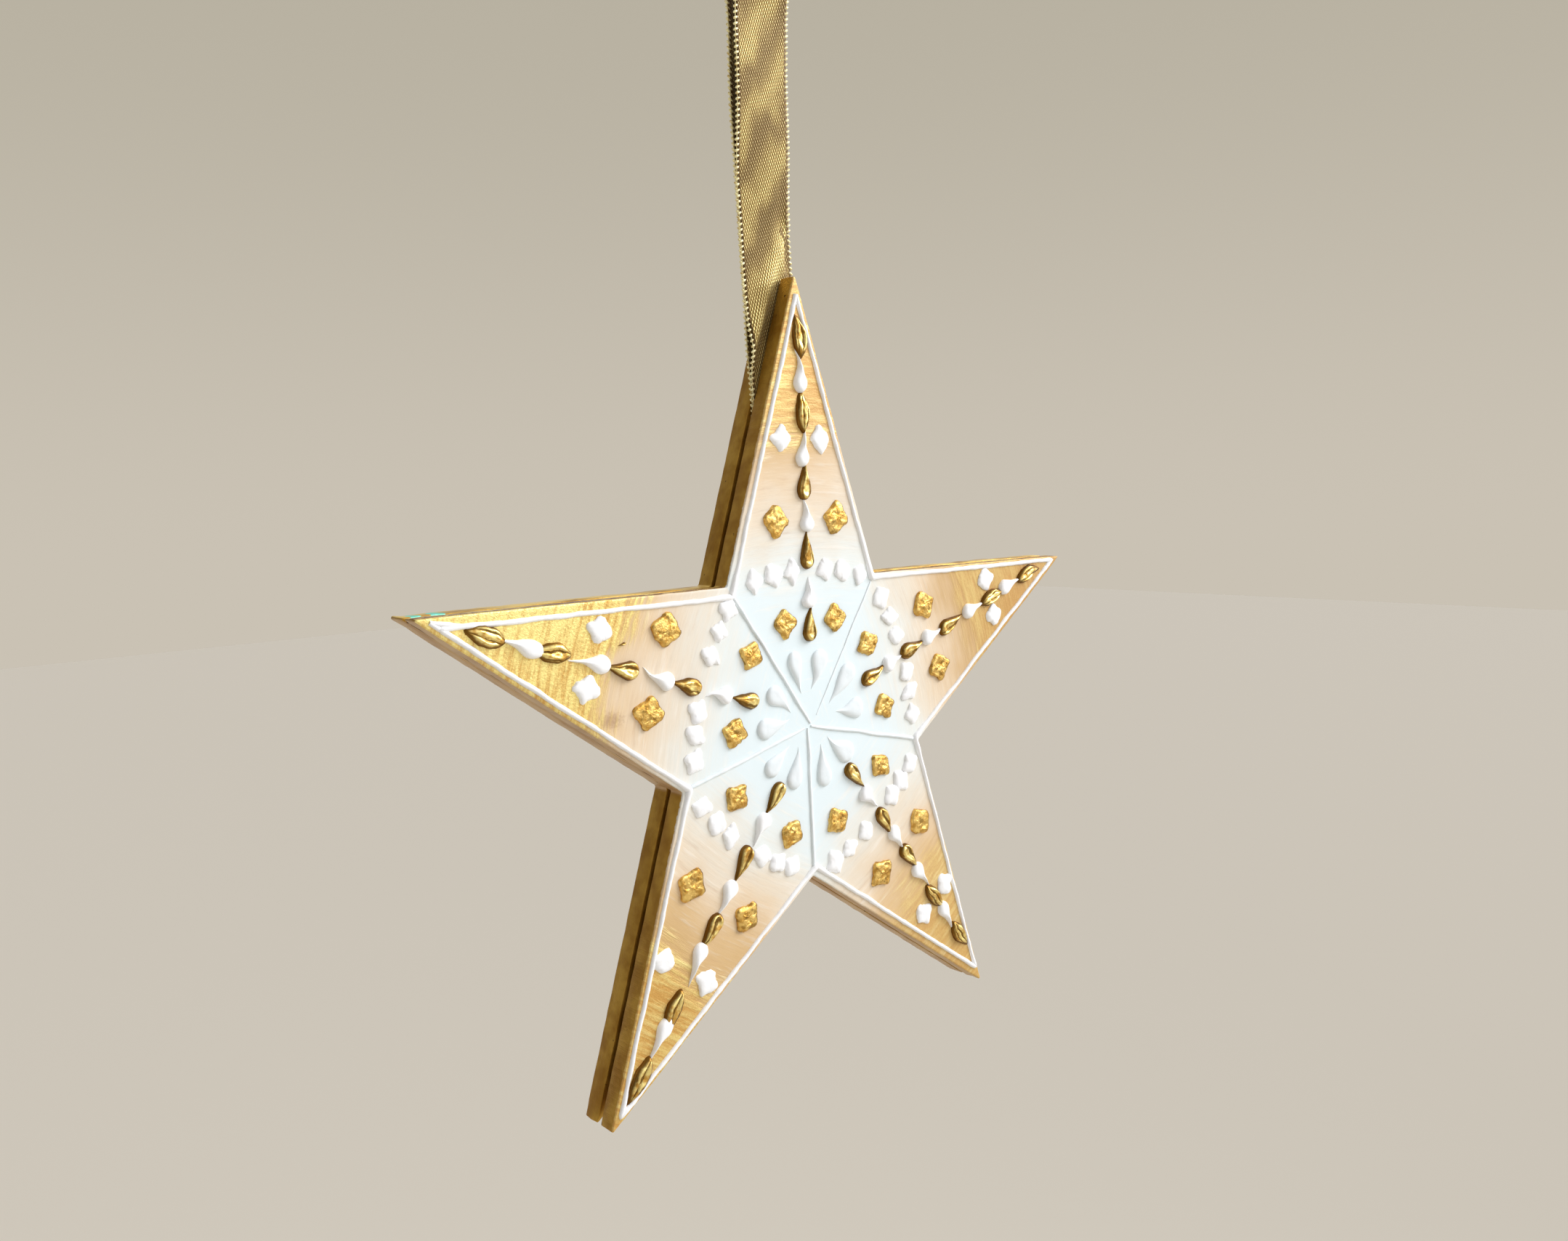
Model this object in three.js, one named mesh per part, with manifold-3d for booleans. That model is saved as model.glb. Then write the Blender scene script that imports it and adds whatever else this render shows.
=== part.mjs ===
// Hanging star ornament: two wooden stars, one behind the other, with a looped satin
// ribbon caught between them and a pattern of thick raised paint on the front star.
//
// Millimetres, +Z up. The decorated face looks towards -Y. The origin is the inside top
// of the ribbon loop, where a hook or a twig bears, and the stars hang below it.
//
// Each star is drawn flat first, with x to the right, y towards the top tip and z out of
// the decorated face, and is then stood up and lowered to its place.

import * as THREE from "three";
import { mergeVertices } from "three/addons/utils/BufferGeometryUtils.js";
import Module from "manifold-3d";

const wasm = await Module();
wasm.setup();

// Stars
const ARMS = 5;
const ARM_TURN = (2 * Math.PI) / ARMS;
const TIP_RADIUS = 70;
const NOTCH_RADIUS = 26.9;
const PLATE = 3.2;
const SEAM = 1.0;
const TIP_BLUNTING = 0.8;
const FACE_LEVEL = SEAM / 2 + PLATE;

// Glue bed in the seam, a raised part of the back star's inner face
const BED_INSET = 1.7;
const BED_CLEARANCE = 0.04;
const BED_CHANNEL_MARGIN = 0.6;

// Ribbon, its heights counted from the star's centre
const RIBBON_WIDTH = 10;
const RIBBON_THICK = 0.4;
const RIBBON_TOP = TIP_RADIUS + 58;
const RIBBON_FOOT = 36;
const PRESSED_HALF = 0.46;
const PRESSED_TOP = TIP_RADIUS + 4;
const STRAND_PART = TIP_RADIUS + 6;
const PARTED_OUTSIDE = TIP_RADIUS + 9;
const PARTED_INSIDE = TIP_RADIUS + 11;
const EYE_FOOT = RIBBON_TOP - 16;
const FLARE_FOOT = RIBBON_TOP - 20;
const EYE_HALF_WIDTH = 3.1;
const STRAND_GAP_AT_EYE = 1.75;
const PRESSED_STEPS = 6;
const RIBBON_STEPS = 12;
const EYE_STEPS = 14;

// Place of the star's centre below the loop
const STAR_SIDE = 2.4;
const STAR_DROP = RIBBON_TOP;

// Course of the ribbon's middle: height above the star's centre, then distance to its right
const RIBBON_COURSE = [
  [30, -0.6],
  [50, -1.3],
  [60, -1.8],
  [70, -2.4],
  [84, -3.05],
  [96, -2.85],
  [110, -2.7],
  [130, -STAR_SIDE],
];

// Raised paint: how deep a mark is sunk into the plate, so that it grows out of it
const SINK = 0.6;
const DROP_SIDES = 8;
const LUMP_SIDES = 8;

// A drop's half outline from its fat end to its tail: share of the half width, then how
// much of the round nose and how much of the tail lies behind
const DROP_PROFILE = [
  { wide: 0, nose: 0, tail: 0 },
  { wide: 0.72, nose: 0.31, tail: 0 },
  { wide: 1, nose: 1, tail: 0 },
  { wide: 0.66, nose: 1, tail: 0.42 },
  { wide: 0.26, nose: 1, tail: 0.75 },
  { wide: 0, nose: 1, tail: 1 },
];

// A diamond's side view: its steep rim and shoulder as shares of its half size and height,
// and how little its corners stand out, from 0 for a true diamond to 1 for a round dab
const DIAMOND_RIM = 0.35;
const DIAMOND_SHOULDER = { wide: 0.68, high: 0.95 };
const DIAMOND_SOFTNESS = 0.15;

const GOLD_DROP = { length: 6.2, width: 3.1, height: 1.0 };
const WHITE_DROP = { length: 5.2, width: 2.5, height: 0.9 };
const PETAL = { length: 7.2, width: 3.3, height: 0.8 };
const INNER_DIAMOND = { size: 4.3, height: 0.75 };
const OUTER_DIAMOND = { size: 4.6, height: 0.75 };
const PALE_DIAMOND = { size: 3.9, height: 0.7 };
const ROW_DIAMOND = { size: 3.3, height: 0.7 };

// Petals round the centre, one pair to an arm
const PETAL_RADIUS = 8.6;
const PETAL_SPREAD = THREE.MathUtils.degToRad(17);

// Chain of drops along each arm's middle, gold and white in turn
const CHAIN_COUNT = 9;

// Pairs and rows beside the chain: distance from the arm's middle
const INNER_SPREAD = 5.9;
const OUTER_SPREAD = 6.3;
const PALE_SPREAD = 4.1;
const ROW_SPREADS = [3.6, 7.5, 11.2];
const ROW_BOW = 0.011;

// The painter's hand: how far each arm's marks lie from the star's centre, and how far
// the whole chain lies to the arm's right. Arms clockwise from the top one.
const ARM_PAINT = [
  { chain: 14.8, pitch: 5.7, side: 0.7, inner: 15.1, row: 23.3, outer: 31.4, pale: 44.2 },
  { chain: 15.7, pitch: 5.35, side: -0.2, inner: 16.0, row: 23.1, outer: 30.9, pale: 47.8 },
  { chain: 15.7, pitch: 5.3, side: -1.1, inner: 18.4, row: 24.7, outer: 33.4, pale: 47.3 },
  { chain: 14.9, pitch: 5.8, side: -0.3, inner: 18.0, row: 23.9, outer: 33.1, pale: 44.7 },
  { chain: 13.9, pitch: 5.65, side: 0.2, inner: 14.5, row: 22.6, outer: 31.2, pale: 42.4 },
];

// Piped outline: its inset from the star's edge, right side then left side of each arm
const OUTLINE_WIDTH = 1.0;
const OUTLINE_HEIGHT = 0.7;
const OUTLINE_INSETS = [0.95, 1.2, 1.05, 0.65, 1.6, 0.65, 0.8, 0.9, 1.1, 0.85];
const OUTLINE_STEPS = 5;
const OUTLINE_WANDER = 0.14;
const LINE_BEVEL = 0.3;

// Spokes from the crossing at the middle to the notches
const SPOKE_WIDTH = 0.8;
const SPOKE_HEIGHT = 0.6;
const SPOKE_REACH = 1.4;
const CROSSING = new THREE.Vector2(-0.4, -0.7);

/** A point at a distance from the star's centre, at an angle clockwise from the top tip. */
function polar(radius, angle) {
  return new THREE.Vector2(radius * Math.sin(angle), radius * Math.cos(angle));
}

/** A small repeatable wander of the painter's hand, between -reach and reach. */
function wander(seed, reach) {
  return reach * Math.sin(seed * 12.9898 + 4.1);
}

/** A closed three.js geometry as a solid that can be joined and cut. */
function solid(geometry) {
  const bare = geometry.clone();
  bare.deleteAttribute("normal");
  bare.deleteAttribute("uv");
  const merged = mergeVertices(bare, 1e-4);
  const index = merged.index.array;
  const triangles = [];
  for (let i = 0; i < index.length; i += 3) {
    const [a, b, c] = [index[i], index[i + 1], index[i + 2]];
    if (a !== b && b !== c && c !== a) {
      triangles.push(a, b, c);
    }
  }
  return new wasm.Manifold(new wasm.Mesh({
    numProp: 3,
    vertProperties: Float32Array.from(merged.attributes.position.array),
    triVerts: Uint32Array.from(triangles),
  }));
}

/** A solid as a three.js geometry again. */
function geometryOf(body) {
  const mesh = body.getMesh();
  const geometry = new THREE.BufferGeometry();
  geometry.setAttribute("position", new THREE.BufferAttribute(mesh.vertProperties, 3));
  geometry.setIndex(new THREE.BufferAttribute(mesh.triVerts, 1));
  geometry.computeVertexNormals();
  return geometry;
}

/** Distance from the star's centre to each of its ten straight edges. */
function edgeDistance() {
  const tip = polar(TIP_RADIUS, 0);
  const notch = polar(NOTCH_RADIUS, ARM_TURN / 2);
  return Math.abs(tip.cross(notch)) / tip.distanceTo(notch);
}

/** The direction in which a star edge faces: edge 2k is arm k's right side, 2k + 1 its left. */
function edgeNormal(edge) {
  const arm = Math.floor(edge / 2);
  const side = edge % 2 === 0 ? 1 : -1;
  const lean = Math.acos(edgeDistance() / TIP_RADIUS);
  return polar(1, arm * ARM_TURN + side * lean);
}

/** The point where two lines meet, each given by its facing direction and distance. */
function meeting(normalA, distanceA, normalB, distanceB) {
  const scale = normalA.cross(normalB);
  return new THREE.Vector2(
    (distanceA * normalB.y - distanceB * normalA.y) / scale,
    (distanceB * normalA.x - distanceA * normalB.x) / scale,
  );
}

/** The ten corners of a star whose edges are drawn in, clockwise from the top tip. */
function starCorners(insets) {
  const line = (edge) => {
    const at = (edge + 2 * ARMS) % (2 * ARMS);
    return [edgeNormal(at), edgeDistance() - insets[at]];
  };
  const corners = [];
  for (let arm = 0; arm < ARMS; arm += 1) {
    corners.push(meeting(...line(2 * arm + 1), ...line(2 * arm)));
    corners.push(meeting(...line(2 * arm), ...line(2 * arm + 3)));
  }
  return corners;
}

/** A star's outline with its tips blunted by a short flat. */
function starShape(inset) {
  const corners = starCorners(new Array(2 * ARMS).fill(inset));
  const outline = [];
  corners.forEach((corner, i) => {
    const isTip = i % 2 === 0;
    if (!isTip) {
      outline.push(corner);
      return;
    }
    const before = corners[(i + 2 * ARMS - 1) % (2 * ARMS)];
    const after = corners[(i + 1) % (2 * ARMS)];
    for (const next of [before, after]) {
      const step = next.clone().sub(corner).setLength(TIP_BLUNTING);
      outline.push(corner.clone().add(step));
    }
  });
  return new THREE.Shape(outline);
}

/** A flat star plate between two levels. */
function starPlate(inset, low, high) {
  const geometry = new THREE.ExtrudeGeometry(starShape(inset), {
    depth: high - low,
    bevelEnabled: false,
  });
  return geometry.translate(0, 0, low);
}

/** A drop of paint, its fat end towards the star's centre and its tail towards the tip. */
function paintDrop({ length, width, height }) {
  const radius = width / 2;
  const taper = length - radius;
  const profile = DROP_PROFILE.map(({ wide, nose, tail }) => (
    new THREE.Vector2(wide * radius, nose * radius + tail * taper - length / 2)
  ));
  return new THREE.LatheGeometry(profile, DROP_SIDES).scale(1, 1, height / radius);
}

/** A dabbed diamond of paint, low at its rim, one corner towards the tip. */
function paintDiamond({ size, height }) {
  const radius = size / 2;
  const profile = [
    new THREE.Vector2(0, -SINK),
    new THREE.Vector2(radius, -SINK),
    new THREE.Vector2(radius, height * DIAMOND_RIM),
    new THREE.Vector2(radius * DIAMOND_SHOULDER.wide, height * DIAMOND_SHOULDER.high),
    new THREE.Vector2(0, height),
  ];
  const geometry = new THREE.LatheGeometry(profile, LUMP_SIDES).rotateX(Math.PI / 2);
  const places = geometry.attributes.position;
  for (let i = 0; i < places.count; i += 1) {
    const angle = Math.atan2(places.getY(i), places.getX(i));
    const pointed = 1 / (Math.abs(Math.cos(angle)) + Math.abs(Math.sin(angle)));
    const drawnIn = THREE.MathUtils.lerp(pointed, 1, DIAMOND_SOFTNESS);
    places.setXY(i, places.getX(i) * drawnIn, places.getY(i) * drawnIn);
  }
  return geometry;
}

/** A mark put on the front face, at a place along and across one arm. */
function onArm(geometry, arm, along, across) {
  return geometry.translate(across, along, FACE_LEVEL).rotateZ(-arm * ARM_TURN);
}

/** The chain of gold and white drops along one arm. */
function chainMarks(arm) {
  const paint = ARM_PAINT[arm];
  const marks = [];
  for (let i = 0; i < CHAIN_COUNT; i += 1) {
    const drop = i % 2 === 0 ? GOLD_DROP : WHITE_DROP;
    const across = paint.side + wander(arm * CHAIN_COUNT + i, 0.2);
    marks.push(onArm(paintDrop(drop), arm, paint.chain + i * paint.pitch, across));
  }
  return marks;
}

/** The diamonds beside the chain: three pairs, and one row right across the arm. */
function diamondMarks(arm) {
  const paint = ARM_PAINT[arm];
  const marks = [];
  for (const side of [-1, 1]) {
    const pairs = [
      [INNER_DIAMOND, paint.inner, INNER_SPREAD],
      [OUTER_DIAMOND, paint.outer, OUTER_SPREAD],
      [PALE_DIAMOND, paint.pale, PALE_SPREAD],
    ];
    for (const [mark, along, spread] of pairs) {
      marks.push(onArm(paintDiamond(mark), arm, along, paint.side / 2 + side * spread));
    }
    for (const spread of ROW_SPREADS) {
      const along = paint.row - ROW_BOW * spread * spread;
      marks.push(onArm(paintDiamond(ROW_DIAMOND), arm, along, side * spread));
    }
  }
  return marks;
}

/** The pair of petals that one arm has round the centre, fat ends outwards. */
function petalMarks(arm) {
  return [-1, 1].map((side) => {
    const petal = paintDrop(PETAL).rotateZ(Math.PI);
    petal.translate(0, PETAL_RADIUS, FACE_LEVEL);
    return petal.rotateZ(-arm * ARM_TURN - side * PETAL_SPREAD);
  });
}

/** A closed line along the star, drawn in from the edge, with the hand's slight wander. */
function wanderingStar(extraInset) {
  const corners = starCorners(OUTLINE_INSETS.map((inset) => inset + extraInset));
  const line = [];
  corners.forEach((corner, i) => {
    const next = corners[(i + 1) % corners.length];
    const run = next.clone().sub(corner).normalize();
    const sideways = new THREE.Vector2(-run.y, run.x);
    for (let step = 0; step < OUTLINE_STEPS; step += 1) {
      const sway = step === 0 ? 0 : wander(i * OUTLINE_STEPS + step, OUTLINE_WANDER);
      line.push(corner.clone().lerp(next, step / OUTLINE_STEPS).addScaledVector(sideways, sway));
    }
  });
  return line;
}

/** A low line of paint on the face, from its outline seen from the front. */
function paintLine(shape, height) {
  const geometry = new THREE.ExtrudeGeometry(shape, {
    depth: SINK + height - LINE_BEVEL,
    bevelSize: LINE_BEVEL,
    bevelOffset: -LINE_BEVEL,
    bevelThickness: LINE_BEVEL,
    bevelSegments: 1,
  });
  return geometry.translate(0, 0, FACE_LEVEL - SINK);
}

/** The piped outline that follows the edge of the front star. */
function outlineMark() {
  const shape = new THREE.Shape(wanderingStar(-OUTLINE_WIDTH / 2));
  shape.holes.push(new THREE.Path(wanderingStar(OUTLINE_WIDTH / 2).reverse()));
  return paintLine(shape, OUTLINE_HEIGHT);
}

/** The piped line from the crossing at the middle to one notch. */
function spokeMark(arm) {
  const notch = polar(NOTCH_RADIUS - SPOKE_REACH, (arm + 0.5) * ARM_TURN);
  const along = notch.clone().sub(CROSSING).normalize();
  const half = new THREE.Vector2(-along.y, along.x).multiplyScalar(SPOKE_WIDTH / 2);
  const shape = new THREE.Shape([
    CROSSING.clone().add(half),
    CROSSING.clone().sub(half),
    notch.clone().sub(half),
    notch.clone().add(half),
  ]);
  return paintLine(shape, SPOKE_HEIGHT);
}

/** The front star: a plate with all its raised paint grown out of its face. */
function frontStar() {
  let body = solid(starPlate(0, SEAM / 2, FACE_LEVEL)).add(solid(outlineMark()));
  for (let arm = 0; arm < ARMS; arm += 1) {
    const marks = [spokeMark(arm), ...petalMarks(arm), ...chainMarks(arm), ...diamondMarks(arm)];
    for (const mark of marks) {
      body = body.add(solid(mark));
    }
  }
  return geometryOf(body);
}

/** How far the ribbon's middle lies to the right of the star's, at a height above it. */
function ribbonLean(height) {
  const last = RIBBON_COURSE.length - 1;
  const after = RIBBON_COURSE.findIndex(([station]) => station >= height);
  const upper = after < 0 ? last : Math.max(after, 1);
  const [lowHeight, lowSide] = RIBBON_COURSE[upper - 1];
  const [highHeight, highSide] = RIBBON_COURSE[upper];
  return THREE.MathUtils.mapLinear(height, lowHeight, highHeight, lowSide, highSide);
}

/** Moves a flat geometry sideways along the ribbon's course. */
function followCourse(geometry) {
  const places = geometry.attributes.position;
  for (let i = 0; i < places.count; i += 1) {
    places.setX(i, places.getX(i) + ribbonLean(places.getY(i)));
  }
  return geometry;
}

/** Half the gap between the ribbon's strands, at a height above the star's centre. */
function strandGap(height) {
  const opening = THREE.MathUtils.clamp((height - STRAND_PART) / (EYE_FOOT - STRAND_PART), 0, 1);
  const flare = THREE.MathUtils.smootherstep(height, FLARE_FOOT, RIBBON_TOP - EYE_HALF_WIDTH);
  const narrow = (STRAND_GAP_AT_EYE / 2) * opening;
  return narrow + (EYE_HALF_WIDTH - narrow) * flare;
}

/** One side of the loop seen edge on, from a height up and over to the top of the eye. */
function loopSide(foot, extra) {
  const arch = RIBBON_TOP - EYE_HALF_WIDTH;
  const points = [];
  for (let i = 0; i < RIBBON_STEPS; i += 1) {
    const height = THREE.MathUtils.lerp(foot, arch, i / RIBBON_STEPS);
    points.push(new THREE.Vector2(strandGap(height) + extra, height));
  }
  for (let i = 0; i <= EYE_STEPS / 2; i += 1) {
    const turn = (Math.PI * i) / EYE_STEPS;
    const reach = EYE_HALF_WIDTH + extra;
    points.push(new THREE.Vector2(reach * Math.cos(turn), arch + reach * Math.sin(turn)));
  }
  return points;
}

/** Both sides of the loop, from one foot over the eye to the other. */
function loopOutline(side) {
  const back = side.slice(0, -1).reverse().map((point) => new THREE.Vector2(-point.x, point.y));
  return [...side, ...back];
}

/** The ribbon loop, its two ends pressed flat together between the stars. */
function ribbon() {
  const pressed = [];
  for (let i = 0; i <= PRESSED_STEPS; i += 1) {
    const height = THREE.MathUtils.lerp(RIBBON_FOOT, PRESSED_TOP, i / PRESSED_STEPS);
    pressed.push(new THREE.Vector2(PRESSED_HALF, height));
  }
  const outer = loopOutline([...pressed, ...loopSide(PARTED_OUTSIDE, RIBBON_THICK)]);
  const inner = loopOutline(loopSide(PARTED_INSIDE, 0));
  const shape = new THREE.Shape(outer);
  shape.holes.push(new THREE.Path(inner));
  const geometry = new THREE.ExtrudeGeometry(shape, { depth: RIBBON_WIDTH, bevelEnabled: false });
  geometry.translate(0, 0, -RIBBON_WIDTH / 2).rotateY(-Math.PI / 2);
  return geometryOf(solid(followCourse(geometry)));
}

/** The channel that the ribbon's ends leave in the glue bed. */
function ribbonChannel() {
  const height = TIP_RADIUS;
  const width = RIBBON_WIDTH + 2 * BED_CHANNEL_MARGIN;
  const foot = RIBBON_FOOT - BED_CHANNEL_MARGIN;
  const channel = new THREE.BoxGeometry(width, height, 2 * SEAM, 1, RIBBON_STEPS, 1);
  return followCourse(channel.translate(0, foot + height / 2, 0));
}

/** The back star: a plain plate with the glue bed standing on its inner face. */
function backStar() {
  const plate = solid(starPlate(0, -FACE_LEVEL, -SEAM / 2));
  const bed = solid(starPlate(BED_INSET, -SEAM / 2 - SINK, SEAM / 2 - BED_CLEARANCE));
  return geometryOf(plate.add(bed.subtract(solid(ribbonChannel()))));
}

/** A named sub-part with a finish of its own. */
function subPart(name, geometry, color, roughness, metalness) {
  const material = new THREE.MeshStandardMaterial({ color, roughness, metalness });
  const mesh = new THREE.Mesh(geometry, material);
  mesh.name = name;
  return mesh;
}

const ornament = new THREE.Group();
ornament.rotation.x = Math.PI / 2;
ornament.position.set(STAR_SIDE, 0, -STAR_DROP);
ornament.add(
  subPart("front_star", frontStar(), 0xe6d3b4, 0.5, 0.15),
  subPart("back_star", backStar(), 0x8a6424, 0.55, 0.2),
  subPart("hanging_ribbon", ribbon(), 0xb39a55, 0.4, 0.1),
);

export default ornament;
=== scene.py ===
"""Hanging star ornament: the looks of two painted wooden stars and their satin ribbon.

Sizes are in millimetres, and become metres where a mesh is made. The star is drawn flat,
with x to its right and z towards its top tip, both counted from its centre, and "out" is
the height in front of the middle of the two stars, towards the decorated side.
"""

import logging
import math
import random
from collections.abc import Callable, Iterable, Sequence
from dataclasses import dataclass, field
from enum import Enum
from typing import Any

import bpy
from mathutils import Matrix, Vector, noise


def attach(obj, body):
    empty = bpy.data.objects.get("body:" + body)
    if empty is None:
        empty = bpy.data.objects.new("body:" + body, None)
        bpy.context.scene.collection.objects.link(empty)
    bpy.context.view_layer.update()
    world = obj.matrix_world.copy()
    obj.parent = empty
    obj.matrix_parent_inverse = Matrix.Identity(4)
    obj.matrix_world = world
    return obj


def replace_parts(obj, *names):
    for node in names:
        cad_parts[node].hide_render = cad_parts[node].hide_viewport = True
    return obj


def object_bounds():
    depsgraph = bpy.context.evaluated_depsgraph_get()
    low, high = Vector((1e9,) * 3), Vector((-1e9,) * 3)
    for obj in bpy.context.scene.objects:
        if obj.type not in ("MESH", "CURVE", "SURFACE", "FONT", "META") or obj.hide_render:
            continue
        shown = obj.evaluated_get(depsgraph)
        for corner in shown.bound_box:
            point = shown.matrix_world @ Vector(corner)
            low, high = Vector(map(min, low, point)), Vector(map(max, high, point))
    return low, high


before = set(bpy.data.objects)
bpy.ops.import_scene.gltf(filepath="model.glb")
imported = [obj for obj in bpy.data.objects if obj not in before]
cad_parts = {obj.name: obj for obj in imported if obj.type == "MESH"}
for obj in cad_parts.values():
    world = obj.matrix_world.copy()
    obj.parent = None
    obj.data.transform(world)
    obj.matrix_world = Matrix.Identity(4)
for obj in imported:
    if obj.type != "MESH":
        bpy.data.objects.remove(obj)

CAD_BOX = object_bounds()
LOG = logging.getLogger("ornament")
MM = 0.001
BODY = "root"

Colour = tuple[float, float, float, float]
Point = tuple[float, float]


def tone(red: float, green: float, blue: float) -> Colour:
    """A colour as the eye sees it, from 0 to 255, as the light values that shaders take.

    Args:
        red: Share of red, 0 to 255.
        green: Share of green, 0 to 255.
        blue: Share of blue, 0 to 255.

    Returns:
        Linear red, green and blue, and full alpha.
    """
    linear = []
    for part in (red, green, blue):
        share = part / 255
        linear.append(share / 12.92 if share <= 0.04045 else ((share + 0.055) / 1.055) ** 2.4)
    return (linear[0], linear[1], linear[2], 1.0)


def blend(start: float, end: float, share: float) -> float:
    """The value a share of the way from start to end."""
    return start + (end - start) * share


def smooth(low: float, high: float, value: float) -> float:
    """0 below low, 1 above high, and a smooth rise between."""
    share = min(max((value - low) / (high - low), 0.0), 1.0)
    return share * share * (3 - 2 * share)


def hump(distance: float, reach: float) -> float:
    """A bell curve: 1 at no distance, and nearly 0 past two reaches."""
    return math.exp(-((distance / reach) ** 2))


def along_stations(stations: Sequence[Point], at: float) -> float:
    """The value at a place between stations of (place, value), straight between them.

    Args:
        stations: Two or more places, from low to high, each with its value.
        at: The place asked for.

    Returns:
        The value there. The end stretches also serve past the ends.
    """
    for (low, start), (high, end) in zip(stations, stations[1:]):
        if at <= high:
            break
    return blend(start, end, (at - low) / (high - low))


class Wire:
    """What comes out of a node's socket. Arithmetic on a number adds its Math nodes."""

    def __init__(self, bench: "NodeBench", socket: bpy.types.NodeSocket) -> None:
        """Wraps one output socket of a node on a bench."""
        self.bench = bench
        self.socket = socket

    def _math(self, operation: str, *parts: "Wire | float") -> "Wire":
        """The result of a Math node fed with the given parts in order."""
        return self.bench.add("ShaderNodeMath", {"operation": operation}, dict(enumerate(parts)))

    def __add__(self, other: "Wire | float") -> "Wire":
        """This plus other."""
        return self._math("ADD", self, other)

    __radd__ = __add__

    def __mul__(self, other: "Wire | float") -> "Wire":
        """This times other."""
        return self._math("MULTIPLY", self, other)

    def __sub__(self, other: "Wire | float") -> "Wire":
        """This less other."""
        return self._math("SUBTRACT", self, other)

    def __rsub__(self, other: float) -> "Wire":
        """A number less this."""
        return self._math("SUBTRACT", other, self)

    def __truediv__(self, other: "Wire | float") -> "Wire":
        """This over other."""
        return self._math("DIVIDE", self, other)

    def __neg__(self) -> "Wire":
        """This with its sign changed."""
        return self._math("MULTIPLY", self, -1.0)

    def apply(self, operation: str, *others: "Wire | float") -> "Wire":
        """The result of a named Math operation on this and others."""
        return self._math(operation, self, *others)

    def wave(self) -> "Wire":
        """A sine that repeats with each whole number, from -1 to 1."""
        return (self * math.tau).apply("SINE")

    def rise(self, low: float, high: float) -> "Wire":
        """0 below low, 1 above high, and a smooth rise between."""
        return self.bench.add(
            "ShaderNodeMapRange",
            {"interpolation_type": "SMOOTHSTEP"},
            {"Value": self, "From Min": low, "From Max": high, "To Min": 0.0, "To Max": 1.0},
        )

    def hump(self, reach: float) -> "Wire":
        """A bell curve of this distance, 1 at 0."""
        return (-(self * self) / (reach * reach)).apply("EXPONENT")


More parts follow.
